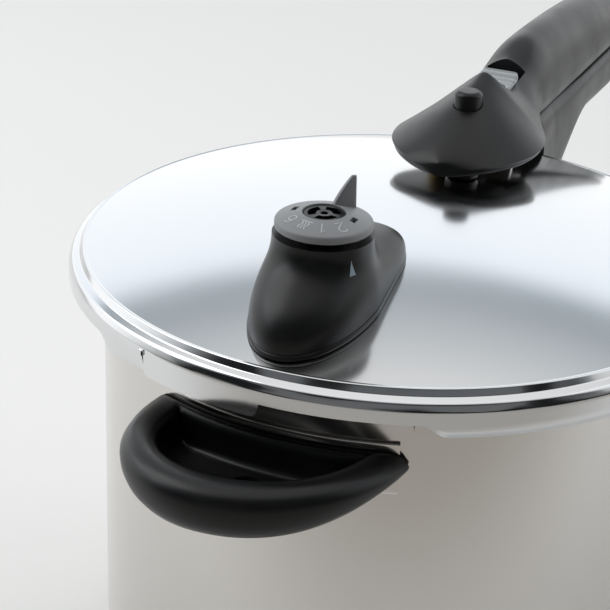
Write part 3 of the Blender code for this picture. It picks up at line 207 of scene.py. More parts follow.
# Stainless steel 18/10 sheet, deep drawn and mirror polished: reflections stay readable, softened a little.
MIRROR_STEEL = Finish("stainless_steel_mirror", "polished_steel", "#DCDDDE", 0.12, 1.0,
                      spread=0.02, patch=55.0)
# The same sheet on the wall and strips, a little duller where the polishing wheel reached less well.
DRAWN_STEEL = Finish("stainless_steel_drawn", "polished_steel", "#D3D0CC", 0.16, 1.0, spread=0.03, patch=70.0)
# Stainless steel, brushed with a belt: small brackets and the cap under the base.
BRUSHED_STEEL = Finish("stainless_steel_brushed", "brushed_steel", "#B9B7B4", 0.32, 1.0,
                       grain=Grain.ROUND_AXIS, pitch=0.6, depth=0.02)
# Aluminium disc, turned: fine rings round the pot's axis, 0.8 mm apart so that they show.
TURNED_ALUMINIUM = Finish("aluminium_turned", "aluminium", "#C6C8CA", 0.35, 1.0,
                          grain=Grain.ROUND_AXIS, pitch=0.8, depth=0.03)
# Free-cutting brass, turned: dull yellow with a low gloss.
TURNED_BRASS = Finish("brass_turned", "brass", "#B79A5B", 0.33, 1.0,
                      grain=Grain.UPRIGHT_BANDS, pitch=0.5, depth=0.01)
# Spring steel wire, drawn and oiled.
SPRING_WIRE = Finish("spring_steel_wire", "spring_steel", "#8F8F90", 0.28, 1.0)
# Steel screw, blackened: almost no colour, a dull gleam.
BLACK_SCREW = Finish("steel_blackened", "brushed_steel", "#1B1B1D", 0.42, 1.0)
# Phenolic resin, compression moulded black: satin, with a haze that breaks the highlights.
PHENOLIC = Finish("phenolic_moulded_black", "black_phenolic", "#090A0C", 0.34, ior=1.42,
                  grain=Grain.MOULDED, pitch=0.55, depth=0.012, spread=0.05, patch=18.0)
# Nylon with glass fibre, injection moulded mid grey: matt with a fine grain.
GREY_NYLON = Finish("nylon_moulded_grey", "grey_plastic", "#848688", 0.48, ior=1.53,
                    grain=Grain.MOULDED, pitch=0.5, depth=0.012)
# The same nylon in light grey on the thumb slide.
LIGHT_NYLON = Finish("nylon_moulded_light_grey", "light_grey_plastic", "#B4B8BA", 0.46, ior=1.53,
                     grain=Grain.MOULDED, pitch=0.5, depth=0.01)
# Silicone rubber, moulded: soft, nearly matt, lets a little light in.
SILICONE = Finish("silicone_moulded_grey", "silicone", "#8E9194", 0.58, ior=1.41, scatter=1.5)
# Pad-printed ink, pale grey, thin and matt.
PALE_INK = Finish("ink_printed_pale", "light_grey_plastic", "#B9BDBF", 0.55)
# The same ink in the blue grey of the marker by the dial.
MARKER_INK = Finish("ink_printed_blue_grey", "light_grey_plastic", "#8B9CA8", 0.5)
# Painted board, matt. build_floor replaces its colour with a gradient whose warm grey near side is painted
# shade.
FLOOR_WITH_PAINTED_SHADE = Finish("floor_pale_with_painted_shade", "", "#F4F3F1", 0.8)


class Palette:
    """Makes each finish's material once and hands it out again."""

    def __init__(self) -> None:
        """Start with no material made."""
        self.made: dict[str, bpy.types.Material] = {}

    def get(self, finish: Finish) -> bpy.types.Material:
        """Return the finish's material, made on first use."""
        if finish.name not in self.made:
            self.made[finish.name] = finish.make()
        return self.made[finish.name]


# Surfaces ----------------------------------------------------------------------------------------


def smooth(value: Array | float) -> Array | float:
    """Ease from 0 to 1: three times the square less twice the cube, held at both ends."""
    held = np.clip(value, 0.0, 1.0)
    return held * held * (3.0 - 2.0 * held)


def signed_power(value: Array, exponent: float | Array) -> Array:
    """Raise the size of each value to a power and keep its sign."""
    return np.copysign(np.abs(value) ** exponent, value)


def stacked(x: Array, y: Array, z: Array) -> Array:
    """Grid of points from three coordinate arrays that spread over each other."""
    return np.stack(np.broadcast_arrays(x, y, z), -1)


def ring_angles(count: int, offset: float = 0.5) -> Array:
    """Evenly spaced angles of a full turn, moved on by a share of one step."""
    return 2 * np.pi * (np.arange(count) + offset) / count


def rounded(corners: Sequence[Point], steps: int = 5) -> Array:
    """Round the corners of a line of (radius, height, rounding).

    Each corner becomes a quadratic curve that leaves and meets its two sides at the rounding's distance,
    cut back to under half a side.

    Args:
        corners: Radius, height and rounding of each corner; no rounding keeps it sharp.
        steps: Spans in each rounded corner.

    Returns:
        The rounded line as rows of (radius, height).
    """
    places = np.array([c[:2] for c in corners], float)
    share = np.linspace(0.0, 1.0, steps + 1)[:, None]
    parts = [places[:1]]
    for i in range(1, len(places) - 1):
        back, ahead = places[i - 1] - places[i], places[i + 1] - places[i]
        reach = min(corners[i][2], 0.48 * np.linalg.norm(back), 0.48 * np.linalg.norm(ahead))
        if reach <= 0.0:
            parts.append(places[i : i + 1])
            continue
        start = places[i] + back / np.linalg.norm(back) * reach
        end = places[i] + ahead / np.linalg.norm(ahead) * reach
        parts.append((1 - share) ** 2 * start + 2 * share * (1 - share) * places[i] + share**2 * end)
    parts.append(places[-1:])
    return np.concatenate(parts)


def swept(section: Array, turn: Array) -> Array:
    """Points of a section of (radius, height) rows at each angle round the origin's upright axis."""
    return stacked(section[..., 0] * np.cos(turn), section[..., 0] * np.sin(turn), section[..., 1])


def revolved(profile: Array, steps: int = 144, centre: tuple[float, float] = (0.0, 0.0)) -> Array:
    """Carry a profile round an upright axis: x and y are radius times cosine and sine, z is its height.

    Args:
        profile: Rows of (radius, height).
        steps: Columns round the axis.
        centre: The axis's place.

    Returns:
        Grid of points, one row for each place of the profile.
    """
    grid = swept(profile[:, None, :], ring_angles(steps, 0.0))
    return grid + np.array([*centre, 0.0])


def mesh_piece(name: str, grid: Array, ring: bool = False, caps: bool = False,
               sharp: float = 35.0) -> bpy.types.Object:
    """Skin over a grid of points whose columns close into rings.

    Args:
        name: The piece's name.
        grid: Points in millimetres, rows by columns by three.
        ring: Whether the last row joins the first.
        caps: Whether the first and last rows are filled.
        sharp: Degrees between faces past which an edge shows.

    Returns:
        The new object in the scene, its doubled points merged and its faces outwards.
    """
    rows, columns = grid.shape[:2]
    index = np.arange(rows * columns).reshape(rows, columns)
    low = index if ring else index[:-1]
    high = np.roll(index, -1, axis=0) if ring else index[1:]
    faces = np.stack([low, np.roll(low, -1, axis=1), np.roll(high, -1, axis=1), high], axis=-1).reshape(-1, 4)
    faces = faces.tolist()
    if caps:
        faces += [index[0].tolist(), index[-1].tolist()]
    mesh = bpy.data.meshes.new(name)
    mesh.from_pydata((grid.reshape(-1, 3) * MM).tolist(), [], faces)
    shape = bmesh.new()
    shape.from_mesh(mesh)
    bmesh.ops.remove_doubles(shape, verts=shape.verts, dist=0.002 * MM)
    bmesh.ops.dissolve_degenerate(shape, edges=shape.edges, dist=0.001 * MM)
    bmesh.ops.recalc_face_normals(shape, faces=shape.faces)
    shape.to_mesh(mesh)
    shape.free()
    mesh.shade_smooth()
    mesh.set_sharp_from_angle(angle=math.radians(sharp))
    piece = bpy.data.objects.new(name, mesh)
    bpy.context.scene.collection.objects.link(piece)
    return piece


def block(low: Point, high: Point) -> bpy.types.Object:
    """A box between two corners, to cut with."""
    x, y, z = ([low[i], high[i]] for i in range(3))
    ring = np.array([(x[0], y[0]), (x[1], y[0]), (x[1], y[1]), (x[0], y[1])])
    grid = np.stack([np.column_stack([ring, np.full(4, height)]) for height in z])
    return mesh_piece("tool", grid, caps=True)


def drum(centre: tuple[float, float], radius: float, low: float, high: float, along: str = "Z",
         top_radius: Optional[float] = None) -> bpy.types.Object:
    """A round bar along Z, or along Y about (x, z), to cut with; top_radius gives it a taper."""
    turn = ring_angles(64, 0.0)
    upper = radius if top_radius is None else top_radius
    rings = []
    for reach, place in ((radius, low), (upper, high)):
        a, b = centre[0] + reach * np.cos(turn), centre[1] + reach * np.sin(turn)
        level = np.full(64, place)
        rings.append(np.column_stack([a, b, level] if along == "Z" else [a, level, b]))
    return mesh_piece("tool", np.stack(rings), caps=True)


def carve(piece: bpy.types.Object, tools: Sequence[bpy.types.Object], sharp: float = 35.0) -> None:
    """Take tools out of a piece, keep the result as its mesh and remove the tools."""
    for tool in tools:
        modifier = piece.modifiers.new("carve", "BOOLEAN")
        modifier.solver = "EXACT"
        modifier.object = tool
    settled = piece.evaluated_get(bpy.context.evaluated_depsgraph_get())
    mesh = bpy.data.meshes.new_from_object(settled)
    piece.modifiers.clear()
    piece.data = mesh
    mesh.shade_smooth()
    mesh.set_sharp_from_angle(angle=math.radians(sharp))
    for tool in tools:
        bpy.data.objects.remove(tool, do_unlink=True)


def stroke(path: Array, width: float, place: "DialPlace") -> Array:
    """Lay a flat printed line along a path on the dial: four corners carried along it, INK thick.

    Args:
        path: Rows of (across, outwards) from the mark's middle, in millimetres.
        width: The line's width.
        place: Where the mark's middle lies and how the face under it slopes.

    Returns:
        Grid of points with four columns.
    """
    along = np.gradient(path, axis=0)
    side = np.column_stack([-along[:, 1], along[:, 0]])
    side *= 0.5 * width / np.linalg.norm(side, axis=1, keepdims=True)
    left, right = path + side, path - side
    corners = ((left, 0.0), (right, 0.0), (right, INK), (left, INK))
    return np.stack([place.lift(flat, height) for flat, height in corners], 1)


@dataclass(frozen=True)
class DialPlace:
    """A mark's place on the dial's face: its angle round the dial and its reach from the axis."""

    degrees: float
    reach: float
    face: float  # height of the face at the bore
    fall: float  # drop of the face for each millimetre outwards
    bore: float

    def lift(self, flat: Array, height: float) -> Array:
        """Put flat (across, outwards) points on the face, that far over it."""
        turn = math.radians(self.degrees)
        out = np.array([math.cos(turn), math.sin(turn)])
        across = np.array([-math.sin(turn), math.cos(turn)])
        spot = (self.reach + flat[:, 1:]) * out - flat[:, :1] * across
        reach = np.linalg.norm(spot, axis=1)
        level = self.face - self.fall * (reach - self.bore) + height
        return np.column_stack([DIAL_X + spot[:, 0], spot[:, 1], level])


class Assembly:
    """Base of the sub-assemblies: dresses pieces, hangs them on bodies and reports them."""

    def __init__(self, palette: Palette) -> None:
        """Keep the palette."""
        self.palette = palette

    def finish(self, piece: bpy.types.Object, finish: Finish, body: Body, *nodes: str) -> None:
        """Dress a piece and hang it on its body.

        Args:
            piece: The finished object.
            finish: Its material.
            body: The body it rides on.
            nodes: Frame nodes that it stands for.
        """
        piece.data.materials.clear()
        piece.data.materials.append(self.palette.get(finish))
        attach(piece, body.value)
        if nodes:
            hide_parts(*nodes)
        LOG.info("%s on %s, %d faces", piece.name, body.value, len(piece.data.polygons))

    def dress_node(self, node: str, finish: Finish) -> None:
        """Give a frame node that stays its material."""
        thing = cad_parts[node]
        thing.data.materials.clear()
        thing.data.materials.append(self.palette.get(finish))
        LOG.info("%s keeps its shape, finished as %s", node, finish.name)


# Pot ---------------------------------------------------------------------------------------------


class Bayonet:
    """The sixfold pattern round the rim, angles in degrees inside one sixth of a turn."""

    START = 25.8
    TAB_END = 36.5
    END = 59.6
    PITCH = 60.0

    @classmethod
    def angles(cls) -> Array:
        """Angles in degrees for one turn: every 2, and close together where the skirt's edge steps."""
        fine = [np.arange(0.0, cls.PITCH, 2.0), np.arange(cls.START - 2.4, cls.START + 4.0, 0.4)]
        fine.append(np.arange(cls.TAB_END - 0.3, cls.TAB_END + 3.3, 0.15))
        fine.append(np.arange(cls.END - 1.8, cls.END + 0.5, 0.15))
        fine += [np.arange(22.6, 23.8, 0.2), np.arange(38.6, 39.8, 0.2)]  # the lugs' ends
        one = np.unique(np.round(np.mod(np.concatenate(fine), cls.PITCH), 3))
        return np.concatenate([one + k * cls.PITCH for k in range(6)])


@dataclass
class Pot(Assembly):
    """Drawn pot with a rolled flange, six turned-down lugs, a sandwich base and a steel cap."""

    palette: Palette
    inner: float = 110.0
    sheet: float = 1.0
    floor: float = 6.0
    corner: float = 14.0
    flange: float = 117.0
    lug: float = 121.0
    lug_drop: float = 5.7
    lug_middle: float = 31.15
    lug_half: float = 8.0
    base_radius: float = 92.0
    core: float = 4.6
    cap: float = 0.8
    ring: float = 58.5  # radius of the shallow groove under the base

    def build(self) -> None:
        """Build the pot and its base."""
        self.build_body()
        self.build_base()

    def build_body(self) -> None:
        """Carry the section round the axis; its flange reaches further and turns down at each lug."""
        degrees = Bayonet.angles()
        away = np.abs(np.mod(degrees - self.lug_middle + 30.0, 60.0) - 30.0)
        lug = smooth((self.lug_half - away) / 0.6 + 0.5)
        top, sheet = FLANGE_TOP, self.sheet
        outer = self.inner + sheet
        inside = [(0.0, self.floor + sheet, 0), (self.inner, self.floor + sheet, self.corner)]
        inside += [(self.inner, top, 2.2), (self.flange - 1.0, top, 0)]
        under = [(self.flange - 1.0, top - sheet, 0), (outer, top - sheet, 1.2)]
        under += [(outer, self.floor, self.corner), (0.0, self.floor, 0)]
        first, last = rounded(inside, 10), rounded(under, 10)
        turn = np.radians(degrees)
        reach = self.flange + (self.lug - self.flange) * lug
        drop = top - sheet - (self.lug_drop - sheet) * lug
        edge = [(reach - 1.6, top), (reach - 0.7, top - 0.25), (reach - 0.15, top - 0.9)]
        edge += [(reach, top - 1.0 - 0.6 * lug), (reach, drop + 0.1), (reach - 0.25, drop - 0.15)]
        edge += [(reach - 0.8, drop - 0.15), (reach - 1.0, drop)]
        edge += [(reach - 1.0, top - sheet - 0.2 * lug), (reach - 1.5, top - sheet)]
        columns = len(turn)
        rows = [np.broadcast_to(first[:, None, :], (len(first), columns, 2))]
        rows.append(np.stack([np.column_stack(np.broadcast_arrays(r, z, turn)[:2]) for r, z in edge]))
        rows.append(np.broadcast_to(last[:, None, :], (len(last), columns, 2)))
        section = np.concatenate(rows)
        grid = swept(section, turn)
        body = mesh_piece("pot_wall", grid, sharp=40.0)
        self.finish(body, DRAWN_STEEL, Body.POT, "pot_body")

    def build_base(self) -> None:
        """The aluminium disc and the steel cap round it, with an eased edge and a shallow ring below."""
        low = self.cap + GAP
        disc = rounded([(0, low + self.core, 0), (self.base_radius, low + self.core, 0.5),
                        (self.base_radius, low, 0.3), (0, low, 0)])
        self.finish(mesh_piece("base_disc", revolved(disc, 192)), TURNED_ALUMINIUM, Body.POT, "base_core")
        inner = self.base_radius + GAP
        outer = inner + self.cap
        top = low + self.core
        ring = self.ring
        cup = rounded([(0, self.cap, 0), (inner, self.cap, 0.4), (inner, top, 0.1), (outer, top, 0.4),
                       (outer, 0, 2.2), (ring + 1.5, 0, 0.6), (ring + 1.1, 0.25, 0.2),
                       (ring - 1.1, 0.25, 0.2), (ring - 1.5, 0, 0.6), (0, 0, 0)])
        self.finish(mesh_piece("base_cup", revolved(cup, 192)), BRUSHED_STEEL, Body.POT, "base_cap")


# Lid ---------------------------------------------------------------------------------------------


def dome(x: Array | float, y: Array | float = 0.0) -> Array | float:
    """Height of the lid's upper side: crease plus the rise times one less the squared share of the way out."""
    return CREASE + DOME_RISE * (1.0 - (np.square(x) + np.square(y)) / DOME_RADIUS**2)


@dataclass
class LidShell(Assembly):
    """Pressed lid: shallow dome, bead, rounded shoulder and a skirt whose edge steps, tabs and notches."""

    palette: Palette
    sheet: float = 0.9
    short: float = 10.5  # below the crease
    deep: float = 15.5
    slit: float = 8.4
    press: float = 2.0
    fold: float = 5.6
    notch_top: float = 6.4
    notch: float = 0.8  # degrees
    corner: float = 2.6
    turned: float = 1.5  # how far the edge leans in where it has no tab
    stem_hole: float = 5.3
    button_hole: float = 2.8
    safety_hole: float = 3.8
    safety_place: tuple[float, float] = (78.0, 13.0)

    def tabbed(self, degrees: Array) -> Array:
        """Whether a direction lies in one of the alternate sixths whose edge is slit and pressed in."""
        return np.mod(np.floor((degrees - Bayonet.START + 6.0) / Bayonet.PITCH), 2) == 0

    def edge_drop(self, degrees: Array) -> Array:
        """How far the skirt reaches below the crease.

        A smooth step leads down to the deep stretch, a notch parts its tab from the rest, whose corner is
        a quarter round, and a quarter round leads up again at its end.
        """
        place = np.mod(degrees, Bayonet.PITCH)
        extra = self.deep - self.short
        down = smooth((place - Bayonet.START + 1.6) / 4.4)
        drop = self.short + extra * down
        tabbed = self.tabbed(degrees)
        past = place - Bayonet.TAB_END - self.notch
        corner = np.clip(past / 1.1, 0.0, 1.0)
        cut = self.corner * (1.0 - np.sqrt(1.0 - (1.0 - corner) ** 2))
        drop = np.where(tabbed & (past > 0), self.deep - cut, drop)
        drop = np.where(tabbed & (place > Bayonet.TAB_END) & (past <= 0), self.notch_top, drop)
        left = np.clip((Bayonet.END - place) / 1.5, 0.0, 1.0)
        rise = extra * (1.0 - np.sqrt(1.0 - (1.0 - left) ** 2))
        return np.where(past > 1.2, self.deep - rise, drop)

    def build(self) -> None:
        """Build the shell as one closed surface: its outer side, the edge and its inner side."""
        degrees = Bayonet.angles()
        turn = np.radians(degrees)
        place = np.mod(degrees, Bayonet.PITCH)
        edge = DOME_RADIUS - 0.2
        out = edge * np.sin(np.linspace(0.0, np.pi / 2, 22)) ** 0.8
        crown = np.column_stack([out, dome(out)])
        rim = rounded([(edge, dome(edge), 0), (DOME_RADIUS, CREASE, 0.5), (118.7, CREASE + 0.3, 0.9),
                       (120.0, CREASE - 2.3, 0.35), (122.7, CREASE - 3.2, 0.9),
                       (SKIRT_RADIUS, CREASE - 6.0, 0.8), (SKIRT_RADIUS, CREASE - 8.2, 0)], 6)
        upper = np.concatenate([crown, rim[1:]])
        columns = len(turn)
        skin = np.broadcast_to(upper[:, None, :], (len(upper), columns, 2))
        tabbed = self.tabbed(degrees)
        in_tab = (tabbed & (place > Bayonet.START - 1.0) & (place < Bayonet.TAB_END + 0.01)).astype(float)
        turned = ~tabbed * smooth((place - Bayonet.START) / 3.0) * smooth((Bayonet.END + 1.0 - place) / 3.0)
        pressed_from = Bayonet.START + 2.6
        press = self.press * in_tab * smooth((place - pressed_from) / (Bayonet.TAB_END - pressed_from))
        fold = self.fold * in_tab * smooth((place - Bayonet.START - 3.1) / 2.4)
        fold = fold * smooth((Bayonet.TAB_END - 0.05 - place) / 0.25)
        drop = self.edge_drop(degrees)
        share = np.array([0.0, 0.02, 0.3, 0.6, 0.64, 0.85, 0.95, 1.0])[:, None]
        level = np.minimum(self.slit, drop - 0.2)
        height = CREASE - level - share * (drop - level)
        radius = SKIRT_RADIUS - press * np.minimum(1.0, share / 0.02)
        radius = radius - 3.5 * np.clip(share - 0.9, 0, 1) * (fold > 1)
        radius = radius - self.turned * turned * np.clip((share - 0.62) / 0.38, 0.0, 1.0)
        skirt = np.stack([np.broadcast_to(radius, height.shape), height], -1)
        outer = np.concatenate([skin, skirt])
        slope = np.gradient(outer, axis=0)
        normal = np.stack([slope[..., 1], -slope[..., 0]], -1)
        normal /= np.maximum(np.linalg.norm(normal, axis=-1, keepdims=True), 1e-9)
        inner = outer + self.sheet * normal
        inner[0, :, 0] = 0.0
        tip = np.stack([outer[-1, :, 0] - np.maximum(fold, 0.01), outer[-1, :, 1]], -1)[None]
        lip = tip + np.stack([np.where(fold > 1, 0.0, -0.3), np.where(fold > 1, self.sheet, 0.0)], -1)[None]
        inner[-1, :, 1] = outer[-1, :, 1] + np.where(fold > 1, self.sheet, 0.0)
        inner[-1, :, 0] = outer[-1, :, 0] - self.sheet
        section = np.concatenate([outer, tip, lip, inner[::-1]])
        grid = swept(section, turn)
        shell = mesh_piece("lid_pressing", grid, sharp=32.0)
        holes = ((DIAL_X, 0.0, self.stem_hole), (BUTTON_X, 0.0, self.button_hole),
                 (*self.safety_place, self.safety_hole))
        tools = [drum((x, y), radius, CREASE - 3.0, CREASE + 16.0) for x, y, radius in holes]
        carve(shell, tools, 32.0)
        self.finish(shell, MIRROR_STEEL, Body.LID, "lid_shell")


# Selector ----------------------------------------------------------------------------------------


@dataclass
class SelectorHousing(Assembly):
    """Egg-shaped hood over the steam valve, on a thin plate whose lip shows all round."""

    palette: Palette
    nose: float = 36.5
    tail: float = 49.5
    half_width: float = 20.8
    tail_width: float = 15.6
    nose_round: float = 36.5
    wall: float = 2.2
    plate: float = 2.0
    lip: float = 0.4
    turret: float = 17.2
    bore: float = 13.0
    top: float = 32.5  # above the crease
    stem_hole: float = 5.3
    marker: float = 235.0  # direction of the printed triangle in degrees

    def outline(self, grow: float = 0.0, count: int = 144) -> Array:
        """Plan from the dial's axis as (towards the rim, across).

        Half an ellipse at the nose; behind it the sides taper and close with an eighth-power curve.
        """
        turn = ring_angles(count)
        along = (self.nose - self.tail) / 2 + (self.nose + self.tail) / 2 * np.cos(turn)
        widest = self.nose - self.nose_round
        front = self.half_width * np.sqrt(np.clip(1 - ((along - widest) / self.nose_round) ** 2, 0, 1))
        share = np.clip((widest - along) / (widest + self.tail), 0, 1)
        side = self.half_width - (self.half_width - self.tail_width) * share
        back = side * np.sqrt(np.clip(1 - share**8, 0, 1))
        across = np.copysign(np.where(along > widest, front, back), np.sin(turn))
        points = np.column_stack([along, across])
        size = np.linalg.norm(points, axis=1, keepdims=True)
        return points * (size + grow) / size

    def skin(self, share: Array, wall: float) -> Array:
        """Hood from the turret's edge to the foot, as a cubic curve in each upright plane round the dial.

        It leaves the turret steeply, most of all towards the tail, where it levels out to a shoulder, and
        meets the plate upright.
        """
        plan = self.outline()
        reach = np.linalg.norm(plan, axis=1)
        rear = smooth(0.5 - 0.8 * plan[:, 0] / reach)
        base = reach - wall
        start = self.bore if wall else self.turret
        foot = dome(DIAL_X - plan[:, 0] * base / reach, plan[:, 1] * base / reach) + self.plate + 0.6
        top = CREASE + self.top
        rise = top - foot
        s = share[:, None]
        weights = ((1 - s) ** 3, 3 * s * (1 - s) ** 2, 3 * s**2 * (1 - s), s**3)
        radii = (start, start + 0.06 * rear * (base - start), base, base)
        upper = top - (0.42 + 0.26 * rear) * rise
        heights = (top, upper, foot + (0.55 + 0.10 * rear) * rise, foot)
        radius = sum(w * r for w, r in zip(weights, radii))
        height = sum(w * h for w, h in zip(weights, heights))
        if wall:
            height = height - wall * (1 - (1 - 2 * s) ** 4)
        along, across = plan[:, 0] / reach, plan[:, 1] / reach
        return np.stack([DIAL_X - along * radius, across * radius, height], -1)

    def build(self) -> None:
        """Build the hood and its plate."""
        outer = self.skin(np.linspace(1.0, 0.0, 40), 0.0)
        inner = self.skin(np.linspace(0.0, 1.0, 16), self.wall)
        hood = mesh_piece("valve_hood", np.concatenate([outer, inner]), ring=True, sharp=50.0)
        self.finish(hood, PHENOLIC, Body.LID, "valve_housing")
        self.build_plate()
        self.build_marker()

    def build_plate(self) -> None:
        """Plate that follows the dome from the stem's hole to its lip."""
        plan = self.outline(self.lip)
        reach = np.linalg.norm(plan, axis=1)
        inward = np.linspace(0.0, 1.0, 9)
        top = GAP + self.plate
        steps = [(0.0, 2 * GAP), (0.012, GAP)] + [(s, GAP) for s in inward[1:]]
        steps += [(s, top) for s in inward[:0:-1]] + [(0.02, top), (0.0, top - 0.7)]
        rows = []
        for share, height in steps:
            scale = 1.0 + (self.stem_hole / reach - 1.0) * share
            x, y = DIAL_X - plan[:, 0] * scale, plan[:, 1] * scale
            rows.append(np.stack([x, y, dome(x, y) + height], -1))
        plate = mesh_piece("valve_plate", np.stack(rows), ring=True, sharp=50.0)
        self.finish(plate, PHENOLIC, Body.LID, "housing_base")

    def build_marker(self) -> None:
        """Printed triangle on the hood, pointing up at the dial."""
        middle = math.radians(self.marker)
        width, share = 1.35, np.linspace(0.13, 0.34, 8)
        plan = self.outline()
        angle = np.arctan2(plan[:, 1], -plan[:, 0])
        order = np.argsort(angle)
        skin = self.skin(share, 0.0)
        half = np.linspace(0.05, width, 8)[:, None] * np.array([-1.0, -0.33, 0.33, 1.0])
        rows = []
        for k in range(8):
            spread = middle - 2 * np.pi + half[k] / 20.0
            found = [np.interp(spread, angle[order], skin[k, order, i]) for i in range(3)]
            rows.append(np.column_stack(found))
        lower = np.stack(rows)
        out = np.array([math.cos(middle), math.sin(middle), 0.5])
        upper = lower + 0.14 * out / np.linalg.norm(out)
        lower = lower - 0.10 * out / np.linalg.norm(out)
        grid = np.concatenate([lower, upper[:, ::-1]], axis=1)
        mark = mesh_piece("pressure_marker", grid, caps=True)
        self.finish(mark, MARKER_INK, Body.LID)


@dataclass
class SelectorDial(Assembly):
    """Turning dial: a low cone with a shark-fin lever, two slots, printed marks, and a spoked hub."""

    palette: Palette
    radius: float = 16.5
    bore: float = 7.3
    bottom: float = 34.6  # above the crease
    edge: float = 2.6
    cone: float = 2.6
    fin: float = 9.4
    fin_width: float = 3.2
    fin_length: float = 9.1
    fin_foot: tuple[float, float] = (7.3, 0.9)  # from the dial's axis
    fin_turn: float = -45.7  # degrees from +X
    slot_reach: float = 10.6
    mark_reach: float = 11.7
    mark_scale: float = 1.18
    mark_line: float = 0.4
    hub: float = 6.9
    hub_bore: float = 1.25
    hub_bottom: float = 31.8  # above the crease
    opening: tuple[float, float] = (2.8, 5.6)  # radii between which the kidneys lie

    def build(self) -> None:
        """Build the dial, its lever, hub and marks, and finish the cam below."""
        low = CREASE + self.bottom
        face = low + self.edge + self.cone
        rim = low + self.edge
        start = (self.bore, face - 1.6, 0)
        profile = rounded([start, (self.bore, face, 0.35), (self.radius, rim, 1.0), (self.radius, low, 0.4),
                           (self.bore, low, 0.2), start], 5)[:-1]
        dial = mesh_piece("selector_dial_ring", revolved(profile, 192, (DIAL_X, 0.0)), ring=True, sharp=40.0)
        tools = []
        for y in (-self.slot_reach, self.slot_reach):
            tools.append(block((DIAL_X - 1.75, y - 1.0, low - 1), (DIAL_X + 1.75, y + 1.0, face + 1)))
        carve(dial, tools, 40.0)
        self.finish(dial, GREY_NYLON, Body.SELECTOR, "selector_dial")
        self.build_fin(rim, face)
        self.build_hub(face)
        self.build_marks(face)
        self.dress_node("selector_cam", TURNED_ALUMINIUM)

    def build_fin(self, rim: float, face: float) -> None:
        """Lever like a shark's fin: a thin blade, upright at the dial's edge, swept and thinner upwards.

        Each level is a rounded bar from the foot line to the edge; the foot line moves out with the height
        raised to 1.5, and the top is eased over the last tenth.
        """
        crown = 0.9 + 0.1 * np.sin(np.linspace(0.15, np.pi / 2, 8))
        levels = np.concatenate([np.linspace(0.0, 0.9, 16), crown])[:, None]
        ease = np.sqrt(np.clip(1 - ((levels - 0.9).clip(0) / 0.1) ** 2, 0.0, 1.0)) * 0.55 + 0.45
        turn = ring_angles(56, 0.0)
        front = 0.8 * self.fin_length * levels**1.5
        back = self.fin_length * (1.0 - 0.03 * levels)
        middle, half = (front + back) / 2, (back - front) / 2 * (0.85 + 0.15 * ease)
        c, s = np.cos(turn), np.sin(turn)
        reach = middle + half * signed_power(c, 0.45)
        width = self.fin_width / 2 * (1.0 - 0.55 * levels) * ease
        across = width * signed_power(s, 0.4)
        height = rim - 1.0 + levels * (face + self.fin - rim + 1.0)
        angle = math.radians(self.fin_turn)
        x = DIAL_X + self.fin_foot[0] + reach * math.cos(angle) - across * math.sin(angle)
        y = self.fin_foot[1] + reach * math.sin(angle) + across * math.cos(angle)
        grid = stacked(x, y, height)
        fin = mesh_piece("selector_fin", grid, caps=True, sharp=60.0)
        self.finish(fin, GREY_NYLON, Body.SELECTOR)

    def build_hub(self, face: float) -> None:
        """Black hub with a bore and three kidney openings."""
        low, high = CREASE + self.hub_bottom, face - 0.5
        near, far = self.opening
        profile = rounded([(self.hub_bore, low, 0), (self.hub_bore, high, 0.25), (self.hub, high, 0.35),
                           (self.hub, low, 0.2), (self.hub_bore, low, 0)], 4)[:-1]
        hub = mesh_piece("dial_hub_disc", revolved(profile, 96, (DIAL_X, 0.0)), ring=True)
        tools = []
        for k in range(3):
            turn = np.radians(np.linspace(44.0, 136.0, 16) + 120.0 * k)
            ring = [(near, low - 1), (far, low - 1), (far, high + 1), (near, high + 1)]
            grid = np.stack([[(DIAL_X + r * math.cos(a), r * math.sin(a), z) for r, z in ring] for a in turn])
            tools.append(mesh_piece("tool", grid, caps=True))
        carve(hub, tools)
        self.finish(hub, PHENOLIC, Body.SELECTOR, "dial_hub")

    def build_marks(self, face: float) -> None:
        """Printed marks round the dial: unlock, steam, 1 and 2, each a few flat lines."""
        arc = np.linspace(0.0, 1.0, 14)
        bow = np.pi * (0.95 - 1.2 * arc)
        two_top = np.column_stack([1.15 * np.cos(bow), 0.75 + 1.15 * np.sin(bow)])
        ring = 1.15 * np.column_stack([np.cos(2 * np.pi * arc), np.sin(2 * np.pi * arc)])
        wave = np.linspace(-1.5, 1.5, 12)
        plumes = [np.column_stack([x + 0.32 * np.sin(2.6 * wave), wave]) for x in (-1.0, 0.0, 1.0)]
        marks = {
            "mark_two": (-127.5, [np.vstack([two_top, [(-1.15, -1.9)], [(1.2, -1.9)]])]),
            "mark_one": (-160.0, [np.array([(-0.9, 1.0), (0.1, 1.9), (0.1, -1.9)])]),
            "mark_steam": (168.0, plumes + [np.array([(-1.9, -1.95), (1.9, -1.95)])]),
            "mark_unlock": (135.0, [ring + (0.0, -0.5), np.array([(-1.15, 0.2), (-1.15, 1.5), (0.2, 1.9)])]),
        }
        fall = self.cone / (self.radius - self.bore)
        for name, (degrees, paths) in marks.items():
            place = DialPlace(degrees, self.mark_reach, face, fall, self.bore)
            grids = [stroke(self.mark_scale * path, self.mark_line, place) for path in paths]
            lines = [mesh_piece(name, grid, caps=True, sharp=60.0) for grid in grids]
            mark = lines[0]
            shape = bmesh.new()
            for line in lines:
                shape.from_mesh(line.data)
            shape.to_mesh(mark.data)
            shape.free()
            for line in lines[1:]:
                bpy.data.objects.remove(line, do_unlink=True)
            mark.name = name
            self.finish(mark, PALE_INK, Body.SELECTOR)


# Lid handle --------------------------------------------------------------------------------------


